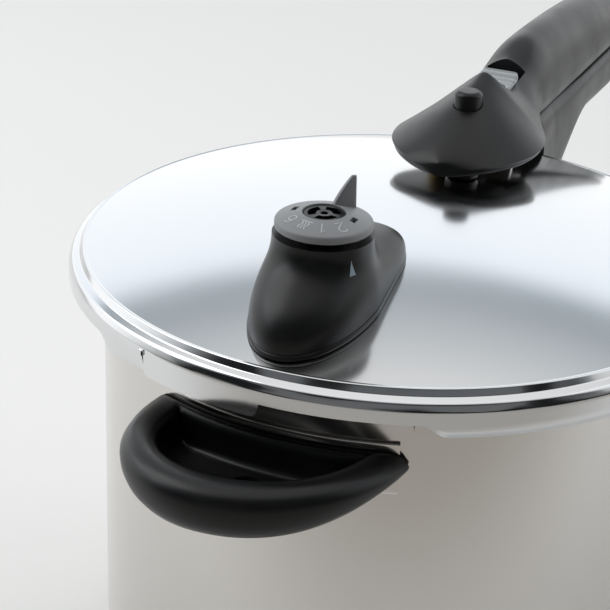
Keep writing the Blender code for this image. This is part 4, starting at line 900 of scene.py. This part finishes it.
@dataclass
class LidHandle(Assembly):
    """Upper handle: a wide hub over the lid, a narrow peak, a thumb notch and a straight grip."""

    palette: Palette
    underside: float = 14.5  # above the crease
    nose: float = 35.0
    hub: float = 72.0
    hub_half: float = 30.3
    grip_half: float = 15.0
    peak: float = 86.0
    peak_top: float = 42.5
    grip_top: float = 45.0
    dip: float = 4.0  # of the grip behind the notch
    belt: float = 4.5  # height of the upright band round the underside
    tent_end: float = 126.0  # where the sections have turned into half ellipses
    pocket_roof: float = 24.0  # above the crease, as are the next three
    bore_floor: float = 31.0
    notch_floor: float = 33.0
    bolt_room: float = 41.3
    pocket_half: float = 18.5
    notch_radius: float = 12.5
    slide_half: float = 8.3
    foot_place: tuple[float, float] = (51.0, -5.0)
    foot_radius: float = 6.5

    def ridge(self, x: Array) -> Array:
        """Height of the ridge: a power curve up to the peak, a dipped line to the grip, then a slow fall."""
        share = np.clip((x - self.nose) / (self.peak - self.nose), 0, 1)
        start = self.underside + 5.0
        rise = start + (self.peak_top - start) * share**0.8
        middle = self.peak_top + (self.grip_top - self.peak_top) * (x - self.peak) / (BOLT_X - self.peak)
        fall = self.grip_top - 14.0 * np.square(np.clip((x - BOLT_X) / (GRIP_END - BOLT_X), 0, 1))
        middle = middle - self.dip * smooth((x - self.peak) / 18.0) * smooth((BOLT_X - 4.0 - x) / 22.0)
        return np.where(x < self.peak, rise, np.where(x < BOLT_X, middle, fall))

    def half_width(self, x: Array) -> Array:
        """Half an ellipse round the nose, easing into the straight grip."""
        share = np.clip((self.hub - x) / (self.hub - self.nose), 0, 1)
        front = self.hub_half * np.sqrt(1 - share**2)
        ease = smooth((x - self.hub) / 52.0)
        return np.where(x < self.hub, front, self.hub_half + (self.grip_half - self.hub_half) * ease)

    def build(self) -> None:
        """Build the handle, cut its pockets, bores and notch, and finish the pieces under it.

        Each upright section is a tent over the hub: the height falls with the root of the squared share of
        the half width plus a rounding's square. It turns into half an ellipse along the grip.
        """
        nose = self.nose + 0.15 + 10 * np.linspace(0, 1, 12) ** 2
        tail = GRIP_END - 8.0 + 8 * np.sin(np.linspace(0, np.pi / 2, 9))
        x = np.concatenate([nose, np.linspace(46, 126, 56), np.linspace(129, 288, 44), tail])[:, None]
        inside = np.clip((GRIP_END - x) / 8.0, 0.0, 1.0)
        shrink = 0.55 + 0.45 * np.sqrt(1 - (1 - inside) ** 2)
        low = CREASE + self.underside
        high = CREASE + self.ridge(x)
        middle = (low + high) / 2
        bottom, top = middle - (middle - low) * shrink, middle + (high - middle) * shrink
        half = self.half_width(x) * shrink
        turn = ring_angles(96)
        c, s = np.cos(turn), np.sin(turn)
        tent = smooth((self.tent_end - x) / 38.0)
        round_top = 0.07 + 0.45 * smooth((self.peak - x) / 42.0)
        edge = np.sqrt(1.0 + round_top**2)
        slope = (edge - np.sqrt(c**2 + round_top**2)) / (edge - round_top)
        belt = bottom + np.minimum(self.belt, 0.5 * (top - bottom))
        y_up = half * c
        z_up = belt + (top - belt) * (np.abs(s) * (1.0 - tent) + slope * tent)
        y_low = 0.97 * half * signed_power(c, 0.5)
        z_low = belt - (belt - bottom) * np.abs(s) ** 0.5
        y, z = np.where(s >= 0, y_up, y_low), np.where(s >= 0, z_up, z_low)
        grid = stacked(x, y, z)
        handle = mesh_piece("lid_grip", grid, caps=True, sharp=50.0)
        carve(handle, self.tools(), 50.0)
        self.finish(handle, PHENOLIC, Body.LID, "lid_handle")
        self.dress_node("lid_bracket", BRUSHED_STEEL)
        self.build_spacer()

    def tools(self) -> list[bpy.types.Object]:
        """The pockets for bracket, slide, link and bolt, the button's bores, the notch and the hang hole."""
        floor, roof, sky = CREASE + self.underside - 1.0, CREASE + self.pocket_roof, CREASE + 50.0
        wide, slide = self.pocket_half, self.slide_half
        notch = CREASE + self.notch_floor + self.notch_radius
        tools = [block((70.0, -wide, floor), (92.0, wide, roof)),
                 block((60.0, -8.0, floor), (71.0, 8.0, roof)),
                 block((91.0, -12.0, floor), (130.0, 12.0, roof - 1.0)),
                 drum((SLIDE_X, notch), self.notch_radius, -40.0, 40.0, "Y"),
                 block((SLIDE_X - 9.3, -slide, CREASE + 26.7), (SLIDE_X + 17.3, slide, sky)),
                 block((SLIDE_X - 2.3, -1.8, CREASE + 19.7), (160.3, 1.8, CREASE + 30.3)),
                 block((BOLT_X - 3.3, -4.3, floor), (BOLT_X + 3.3, 4.3, CREASE + self.bolt_room)),
                 drum((BUTTON_X, 0.0), BUTTON_RADIUS + GAP, CREASE + self.bore_floor, sky),
                 drum((BUTTON_X, 0.0), BUTTON_STEM + GAP, roof - 1.0, sky)]
        for side in (-LID_SCREW_SIDE, LID_SCREW_SIDE):
            tools.append(drum((LID_SCREW_X, side), SHANK + GAP, roof - 2.0, roof + 4.0))
        tools.append(drum((GRIP_END - HANG_INSET, 0.0), HANG_RADIUS, floor - 1.0, sky))
        return tools

    def build_spacer(self) -> None:
        """Round foot under the hub that keeps it off the dome."""
        (x, y), radius = self.foot_place, self.foot_radius
        foot, head = float(dome(x, y)), CREASE + self.underside - GAP
        profile = rounded([(0, foot + GAP, 0), (radius - 0.6, foot + GAP, 0.6), (radius, foot + 1.2, 0.6),
                           (radius, head, 0.3), (0, head, 0)])
        grid = revolved(profile, 48, (x, y))
        low = grid[..., 2] < foot + 0.5
        grid[..., 2] = np.where(low, dome(grid[..., 0], grid[..., 1]) + GAP, grid[..., 2])
        self.finish(mesh_piece("hub_foot", grid), PHENOLIC, Body.LID, "handle_spacer")


@dataclass
class ThumbLatch(Assembly):
    """Thumb slide with a ribbed hollow, the link below it and the lock bolt."""

    palette: Palette
    length: float = 18.0
    half: float = 8.0
    bottom: float = 27.0
    top: float = 39.5
    rounding: float = 0.9
    scoop_radius: float = 13.0
    rib: float = 0.35
    rib_pitch: float = 2.4
    slot_lean: tuple[float, float] = (-8.0, 5.0)  # the cam slot's run back and up

    def build(self) -> None:
        """Build the slide and its link, and finish the bolt and its spring."""
        end = np.array([0.0, 0.15, 0.6])
        x = np.concatenate([end, np.linspace(1.2, self.length - 1.2, 90), self.length - end[::-1]])
        edge = self.rounding
        near = np.minimum(x, self.length - x).clip(0, edge)
        inset = edge - np.sqrt(np.clip(edge**2 - (edge - near) ** 2, 0, 1))
        away = x - self.length / 2
        scoop = self.top + self.scoop_radius - 5.0 - np.sqrt(self.scoop_radius**2 - away**2)
        ribbed = np.abs(away) < 3.5 * self.rib_pitch
        rib = self.rib * (np.cos(2 * np.pi * away / self.rib_pitch) - 1.0) * ribbed
        crest = np.minimum(self.top, scoop + rib)
        turn = ring_angles(64)
        c, s = np.cos(turn), np.sin(turn)
        y = (self.half - inset)[:, None] * signed_power(c, 0.22)
        low, high = self.bottom + inset, crest - inset
        middle = (low + high) / 2
        z = CREASE + middle[:, None] + ((high - low) / 2)[:, None] * signed_power(s, 0.16)
        grid = np.stack([np.broadcast_to((SLIDE_X - self.length / 2 + x)[:, None], y.shape), y, z], -1)
        slide = mesh_piece("thumb_slide", grid, caps=True, sharp=50.0)
        self.finish(slide, LIGHT_NYLON, Body.SLIDE, "slide_button")
        link = block((SLIDE_X - 2.0, -1.5, CREASE + 20.0), (152.0, 1.5, CREASE + 30.0))
        link.name = "latch_link"
        climb = np.linspace(0.0, 1.0, 2)
        turn = ring_angles(32, 0.0)
        back, rise = self.slot_lean
        far = np.cos(turn - math.atan2(rise, back)) > 0
        x = BOLT_X + 1.8 * np.cos(turn) + back * far
        z = CREASE + 22.5 + 1.8 * np.sin(turn) + rise * far
        grid = np.stack([np.column_stack([x, np.full(32, -3.0 + 6.0 * share), z]) for share in climb])
        carve(link, [mesh_piece("tool", grid, caps=True)])
        self.finish(link, LIGHT_NYLON, Body.SLIDE)
        self.dress_node("latch_bolt", BRUSHED_STEEL)
        self.dress_node("latch_spring", SPRING_WIRE)


@dataclass
class Indicator(Assembly):
    """Pressure indicator: a button over the hub on a thin stem, with its foot and seal at the lid."""

    palette: Palette
    bottom: float = 32.0  # from the crease at rest
    top: float = 40.0
    rise: float = 4.0

    def build(self) -> None:
        """Build the button and its seal."""
        foot = float(dome(BUTTON_X)) - 1.0 - self.rise - 0.6
        low, high = CREASE + self.bottom, CREASE + self.top
        radius, stem, flange = BUTTON_RADIUS, BUTTON_STEM, 1.8 * BUTTON_STEM
        profile = rounded([(0, high, 0), (radius - 1.4, high, 0.6), (radius, high - 1.2, 1.0),
                           (radius, low, 0.4), (stem, low, 0.4), (stem, foot, 0.3),
                           (flange, foot, 0.5), (flange, foot - 2, 0.5), (0, foot - 2, 0)], 6)
        button = mesh_piece("indicator_button", revolved(profile, 96, (BUTTON_X, 0.0)))
        self.finish(button, PHENOLIC, Body.INDICATOR, "pressure_indicator")
        self.dress_node("indicator_seal", SILICONE)


# Handles on the pot ------------------------------------------------------------------------------


def curved_plate(middle: float, half: float, low: float, high: float) -> Array:
    """Sheet against the pot's wall: an upright rounded slot section carried round the wall's radius.

    Args:
        middle: Azimuth of its middle in degrees.
        half: Half its angle in degrees.
        low: Height of its lower edge.
        high: Height of its upper edge.

    Returns:
        Grid of points, one row for each angle.
    """
    share = np.linspace(-1.0, 1.0, 61)[:, None]
    turn = np.radians(middle + half * share)
    inner = POT_RADIUS + GAP
    around = ring_angles(24)
    reach = inner + 0.5 + 0.5 * signed_power(np.cos(around), 0.6)
    level = (low + high) / 2 + (high - low) / 2 * signed_power(np.sin(around), 0.12)
    return stacked(reach * np.cos(turn), reach * np.sin(turn), level)


@dataclass
class LongHandle(Assembly):
    """Lower long handle on its steel arm: deep root, step past the lid's skirt, straight grip."""

    palette: Palette
    root_top: float = -19.0  # from the crease
    root_bottom: float = -45.0
    root_half: float = 17.0
    grip_top: float = 13.9
    grip_bottom: float = -7.0
    grip_half: float = 15.0

    def build(self) -> None:
        """Build the handle, its guard and arm."""
        root = POT_RADIUS + 1.6
        past = SKIRT_RADIUS + 3.0
        bottom, low = self.root_bottom, self.grip_bottom
        keys = np.array([
            (root + 1.5, self.root_half, bottom, self.root_top),
            (past - 3.0, self.root_half * 0.97, bottom + 1.4, self.root_top),
            (past, self.root_half * 0.96, bottom + 2, self.root_top),
            (past + 0.6, self.root_half * 0.95, bottom + 3, self.grip_top - 0.8),
            (past + 1.6, self.root_half * 0.94, bottom + 3.2, self.grip_top),
            (past + 20, self.grip_half, bottom + 6, self.grip_top),
            (past + 45, self.grip_half, (bottom + 2 * low) / 3, self.grip_top),
            (past + 75, self.grip_half, low, self.grip_top),
            (past + 115, self.grip_half, low - 1, self.grip_top),
            (GRIP_END - 9, self.grip_half, low + 2.5, self.grip_top),
            (GRIP_END - 5, self.grip_half * 0.95, low + 4, self.grip_top - 0.5),
            (GRIP_END - 2, self.grip_half * 0.85, low + 6, self.grip_top - 1.8),
            (GRIP_END - 0.5, self.grip_half * 0.7, low + 8.5, self.grip_top - 4.0),
        ])
        x = np.unique(np.concatenate([keys[:, 0], np.linspace(past + 2, GRIP_END - 1, 70)]))
        half, floor, top = (np.interp(x, keys[:, 0], keys[:, i])[:, None] for i in (1, 2, 3))
        bend = smooth((x - past - 15.0) / 62.0)[:, None]
        free = (x > past + 20)[:, None] & (x < past + 75)[:, None]
        floor = np.where(free, bottom + 6 + (low - bottom - 6) * bend, floor)
        turn = ring_angles(80)
        c, s = np.cos(turn), np.sin(turn)
        y = half * signed_power(c, 0.5)
        power = np.where(s > 0, 0.35, 0.8)
        z = CREASE + (floor + top) / 2 + (top - floor) / 2 * signed_power(s, power)
        grid = stacked(x[:, None], y, z)
        handle = mesh_piece("pot_grip", grid, caps=True, sharp=50.0)
        under = CREASE + bottom
        arm = under + 14.0
        screw = (root + 21.0, 0.0)
        tools = [block((root - 1, -8.3, arm - 3.3), (root + 30.3, 8.3, arm + GAP)),
                 drum(screw, SHANK + GAP, under - 1, arm + 5), drum(screw, HEAD + GAP, under - 1, arm - 6),
                 block((BOLT_X - 5.1, -4.6, CREASE + self.grip_top - 6), (BOLT_X + 3.6, 20.0, CREASE + 16)),
                 drum((GRIP_END - HANG_INSET, 0.0), HANG_RADIUS, CREASE - 18.0, CREASE + 16)]
        carve(handle, tools, 50.0)
        self.finish(handle, PHENOLIC, Body.POT, "body_handle")
        half_angle = math.degrees((self.root_half + 1.0) / POT_RADIUS)
        plate = curved_plate(0.0, half_angle, under - 2.0, CREASE + self.root_top)
        guard = mesh_piece("handle_guard", plate, caps=True)
        self.finish(guard, DRAWN_STEEL, Body.POT, "flame_guard")
        self.dress_node("long_bracket", BRUSHED_STEEL)


def helper_screw_place() -> tuple[float, float]:
    """Axis of the short handle's screw."""
    azimuth = math.radians(HELPER_AZIMUTH)
    return (HELPER_SCREW_REACH * math.cos(azimuth), HELPER_SCREW_REACH * math.sin(azimuth))


@dataclass
class HelperHandle(Assembly):
    """Short tray-shaped handle with a finger well, on a curved steel strip against the wall."""

    palette: Palette
    half: float = 47.0
    reach: float = 46.0
    floor: float = -39.5  # of the well, from the crease
    strip: float = 23.0  # half the strip's angle in degrees
    strip_ends: tuple[float, float] = (-43.0, -24.0)  # heights from the crease
    skew: float = 6.5  # the outer edge leans to the +Y side
    lift: float = 10.0  # of the underside at both ends

    def outline(self, inset: float, back: float, count: int = 96) -> Array:
        """Plan drawn in by inset, its flat side following the wall that far off.

        The free side is half an ellipse whose cosine is raised to 0.9.
        """
        wall = POT_RADIUS + 1.6 + back
        far = POT_RADIUS + self.reach - inset
        half = self.half - inset
        start = math.sqrt(wall * wall - half * half)
        angle = np.pi * (np.linspace(0.0, 1.0, count) - 0.5)
        out = np.cos(angle).clip(0, 1) ** 0.9
        bow = np.column_stack([-start - (far - start) * out, half * np.sin(angle) + self.skew * out])
        across = np.linspace(half, -half, 42)[1:-1]
        flat = np.column_stack([-np.sqrt(wall * wall - across**2), across])
        return np.vstack([bow, flat])

    def build(self) -> None:
        """Build the handle, its strip and the screw's seat."""
        outside = [(9.0, 0.8, -45.0), (5.6, 0.6, -44.7), (2.8, 0.3, -43.3), (1.0, 0.1, -41.0),
                   (0.2, 0.0, -38.4), (0.0, 0.0, -35.5), (0.1, 0.0, -33.0), (0.7, 0.0, -30.8)]
        rim = [(1.9, 0.0, -28.9), (3.6, 0.2, -27.7), (5.8, 0.5, -27.1), (8.2, 0.9, -27.0), (10.8, 1.6, -27.2)]
        well = [(12.6, 2.3, -27.9), (13.6, 2.9, -29.2), (14.1, 3.2, -31.2), (14.6, 3.6, -34.0),
                (15.1, 4.0, -36.8), (16.0, 4.6, -38.4), (17.6, 5.6, -39.2), (20.0, 7.0, self.floor)]
        turn = math.radians(HELPER_AZIMUTH - 180.0)
        spin = np.array([(math.cos(turn), math.sin(turn)), (-math.sin(turn), math.cos(turn))])
        loops = []
        for inset, back, height in outside + rim + well:
            plan = self.outline(inset, back)
            low = min(1.0, max(0.0, (-31.0 - height) / 14.0)) if len(loops) < len(outside) else 0.0
            rise = self.lift * low * np.minimum(1.0, np.abs(plan[:, 1]) / self.half) ** 3
            loops.append(np.column_stack([plan @ spin, CREASE + height + rise]))
        grid = np.stack(loops)
        handle = mesh_piece("helper_grip", grid, caps=True, sharp=60.0)
        spot = helper_screw_place()
        tools = [drum(spot, SHANK + GAP, CREASE - 47.0, CREASE - 30.0),
                 drum(spot, 5.4, CREASE - 41.5, CREASE - 39.2, top_radius=6.0)]
        carve(handle, tools, 60.0)
        self.finish(handle, PHENOLIC, Body.POT, "helper_handle")
        low, high = self.strip_ends
        strip = curved_plate(HELPER_AZIMUTH, self.strip, CREASE + low, CREASE + high)
        self.finish(mesh_piece("helper_strip", strip, caps=True), DRAWN_STEEL, Body.POT, "helper_bracket")


# Small hardware ----------------------------------------------------------------------------------


@dataclass
class Hardware(Assembly):
    """Screws with cross recesses, and the valve parts under the hood, hub and lid."""

    palette: Palette

    def screw(self, name: str, spot: tuple[float, float], head: float, tip: float, upward: bool,
              finish: Finish, body: Body, node: str) -> None:
        """Build one pan-head screw: a domed head with a cross recess on a plain shank.

        Args:
            name: The piece's name.
            spot: Its axis.
            head: Height of the face under its head.
            tip: Height of the shank's end.
            upward: Whether the head is above that face.
            finish: Its material.
            body: The body it rides on.
            node: The frame node that it stands for.
        """
        side = 1.0 if upward else -1.0
        crown = head + side * 1.9
        profile = rounded([(0, crown, 0), (3.4, crown, 2.0), (HEAD, head + side * 0.6, 0.5),
                           (HEAD, head, 0.2), (SHANK, head, 0.1), (SHANK, tip, 0.5), (0, tip, 0)], 6)
        screw = mesh_piece(name, revolved(profile, 64, spot))
        low, high = sorted((head + side * 0.9, crown + side))
        for a, b in ((2, 0.45), (0.45, 2)):
            carve(screw, [block((spot[0] - a, spot[1] - b, low), (spot[0] + a, spot[1] + b, high))])
        self.finish(screw, finish, body, node)

    def build(self) -> None:
        """Build the screws and finish the frame nodes that stay."""
        self.screw("helper_fastener", helper_screw_place(), CREASE - 41.2, CREASE - 44.0, True, BLACK_SCREW,
                   Body.POT, "helper_screw")
        arm = CREASE - 31.0
        self.screw("pot_grip_fastener", (133.6, 0.0), arm - 6.3, arm + 4, False, BRUSHED_STEEL,
                   Body.POT, "body_handle_screw")
        for side, y in (("left", LID_SCREW_SIDE), ("right", -LID_SCREW_SIDE)):
            self.screw("lid_grip_fastener_" + side, (LID_SCREW_X, y), CREASE + 16.2, CREASE + 27, False,
                       BRUSHED_STEEL, Body.LID, "lid_handle_screw_" + side)
        stays = {SILICONE: ("gasket", "valve_seal"), SPRING_WIRE: ("valve_spring", "safety_spring"),
                 TURNED_BRASS: ("valve_body", "valve_nut", "valve_plunger", "safety_body", "safety_nut",
                                "safety_plunger")}
        for finish, nodes in stays.items():
            for node in nodes:
                self.dress_node(node, finish)


# Studio ------------------------------------------------------------------------------------------


@dataclass
class Studio:
    """Pale floor with painted shade on the viewer's side, soft light from a room that is bright ahead and dim
    behind, and the camera.
    """

    palette: Palette
    heading: tuple[float, float] = (0.9205, 0.3907)
    eye: Point = (-592.8, -213.1, 441.0)
    pitch: float = 24.98
    roll: float = 2.24
    lens: float = 107.5

    def build(self) -> None:
        """Build floor, surroundings, lamps and camera."""
        self.build_floor()
        self.build_world()
        self.build_lamps()
        self.build_camera()

    def build_floor(self) -> None:
        """A wide floor that pales from warm grey on the viewer's side to white behind. The warm grey is
        painted shade that stands in for less light on the near floor, so the skirt and the pot wall mirror it
        darker.
        """
        side = 4.0
        mesh = bpy.data.meshes.new("floor")
        corners = [(-side, -side, 0), (side, -side, 0), (side, side, 0), (-side, side, 0)]
        mesh.from_pydata(corners, [], [(0, 1, 2, 3)])
        floor = bpy.data.objects.new("floor", mesh)
        bpy.context.scene.collection.objects.link(floor)
        surface = self.palette.get(FLOOR_WITH_PAINTED_SHADE)
        tree = surface.node_tree
        where = add_node(tree, "ShaderNodeTexCoord").outputs["Object"]
        along = add_node(tree, "ShaderNodeVectorMath", {0: where, 1: (*self.heading, 0.0)},
                         operation="DOT_PRODUCT")
        inputs = {"Value": along.outputs["Value"], "From Min": -0.36, "From Max": -0.10}
        ramp = add_node(tree, "ShaderNodeMapRange", inputs, interpolation_type="SMOOTHSTEP")
        # Painted shade: warm grey on the viewer's side fading to white behind. The lid's skirt and the pot
        # wall mirror it.
        painted_shade_mix = add_node(tree, "ShaderNodeMix", {"Factor": ramp.outputs["Result"]}, data_type="RGBA")
        painted_shade_mix.inputs[6].default_value = linear("#BDB8B1")
        painted_shade_mix.inputs[7].default_value = linear("#F6F5F3")
        tree.links.new(painted_shade_mix.outputs[2], tree.nodes["Principled BSDF"].inputs["Base Color"])
        mesh.materials.append(surface)

    def build_world(self) -> None:
        """Bright walls up to 31 degrees, a blue-grey band at 36, a paler ceiling.

        Behind the viewer it is dimmer and broken by dark cards, which the rim and the skirt mirror.
        """
        world = bpy.data.worlds.new("studio")
        bpy.context.scene.world = world
        world.use_nodes = True
        tree = world.node_tree
        shown = tree.nodes["Background"]
        where = add_node(tree, "ShaderNodeTexCoord").outputs["Generated"]
        height = add_node(tree, "ShaderNodeSeparateXYZ", {0: where})
        ramp = add_node(tree, "ShaderNodeValToRGB", {"Fac": height.outputs["Z"]})
        stops = [(0.0, "#FFFFFF"), (0.15, "#FCFEFF"), (0.51, "#F2F8FF"), (0.565, "#9FA7AE"),
                 (0.61, "#A0A7AC"), (0.69, "#BEC2C5"), (0.77, "#DADADA"), (1.0, "#E6E6E6")]
        band = ramp.color_ramp.elements
        band[0].position, band[0].color = stops[0][0], linear(stops[0][1])
        band[1].position, band[1].color = stops[-1][0], linear(stops[-1][1])
        for place, colour in stops[1:-1]:
            band.new(place).color = linear(colour)
        facing = add_node(tree, "ShaderNodeVectorMath", {0: where, 1: (*self.heading, 0.55)},
                          operation="DOT_PRODUCT").outputs["Value"]
        inputs = {"Value": facing, "From Min": -0.3, "From Max": 0.4, "To Min": 0.16, "To Max": 1.3}
        gain = add_node(tree, "ShaderNodeMapRange", inputs, interpolation_type="SMOOTHSTEP")
        tree.links.new(ramp.outputs["Color"], shown.inputs["Color"])
        cards = add_node(tree, "ShaderNodeTexNoise", {"Vector": where, "Scale": 2.6, "Detail": 1.0})
        inputs = {"Value": cards.outputs["Fac"], "From Min": 0.47, "From Max": 0.52, "To Min": 0.08}
        open_part = add_node(tree, "ShaderNodeMapRange", inputs)
        behind = add_node(tree, "ShaderNodeMapRange", {"Value": facing, "From Min": -0.2, "From Max": 0.0})
        kept = add_node(tree, "ShaderNodeMath", {0: open_part.outputs["Result"], 1: behind.outputs["Result"]},
                        operation="MAXIMUM")
        power = add_node(tree, "ShaderNodeMath", {0: gain.outputs["Result"], 1: kept.outputs["Value"]},
                         operation="MULTIPLY")
        tree.links.new(power.outputs["Value"], shown.inputs["Strength"])

    def build_lamps(self) -> None:
        """Two wide soft lamps: one high on the left for form, a weak one on the right."""
        lamps = (("left_softbox", (-0.3, 1.2, 1.3), 1.2, 9.0), ("right_softbox", (0.5, -1.6, 1.2), 1.4, 3.0))
        for name, place, size, power in lamps:
            light = bpy.data.lights.new(name, "AREA")
            light.size, light.energy = size, power
            lamp = bpy.data.objects.new(name, light)
            bpy.context.scene.collection.objects.link(lamp)
            lamp.location = place
            lamp.rotation_euler = (Vector((0, 0, 0.12)) - Vector(place)).to_track_quat("-Z", "Y").to_euler()
        bpy.context.scene.view_settings.view_transform = "Standard"

    def build_camera(self) -> None:
        """Camera from its heading, pitch and roll."""
        camera = bpy.data.cameras.new("camera")
        camera.lens, camera.sensor_width = self.lens, 36.0
        camera.clip_start, camera.clip_end = 0.01, 50.0
        seat = bpy.data.objects.new("camera", camera)
        bpy.context.scene.collection.objects.link(seat)
        p, r = math.radians(self.pitch), math.radians(self.roll)
        east, north = self.heading
        forward = Vector((east * math.cos(p), north * math.cos(p), -math.sin(p))).normalized()
        level = Vector((north, -east, 0.0)).normalized()
        upright = level.cross(forward)
        right = math.cos(r) * level + math.sin(r) * upright
        up = -math.sin(r) * level + math.cos(r) * upright
        axes = Matrix((right, up, -forward)).transposed().to_4x4()
        seat.matrix_world = Matrix.Translation(Vector(self.eye) * MM) @ axes
        bpy.context.scene.camera = seat


def main() -> None:
    """Build every sub-assembly in order."""
    logging.basicConfig(level=logging.INFO, format="%(name)s: %(message)s")
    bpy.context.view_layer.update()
    palette = Palette()
    for kind in (Pot, LidShell, SelectorHousing, SelectorDial, LidHandle, ThumbLatch, Indicator, LongHandle,
                 HelperHandle, Hardware, Studio):
        kind(palette).build()


if __name__ == "__main__":
    main()
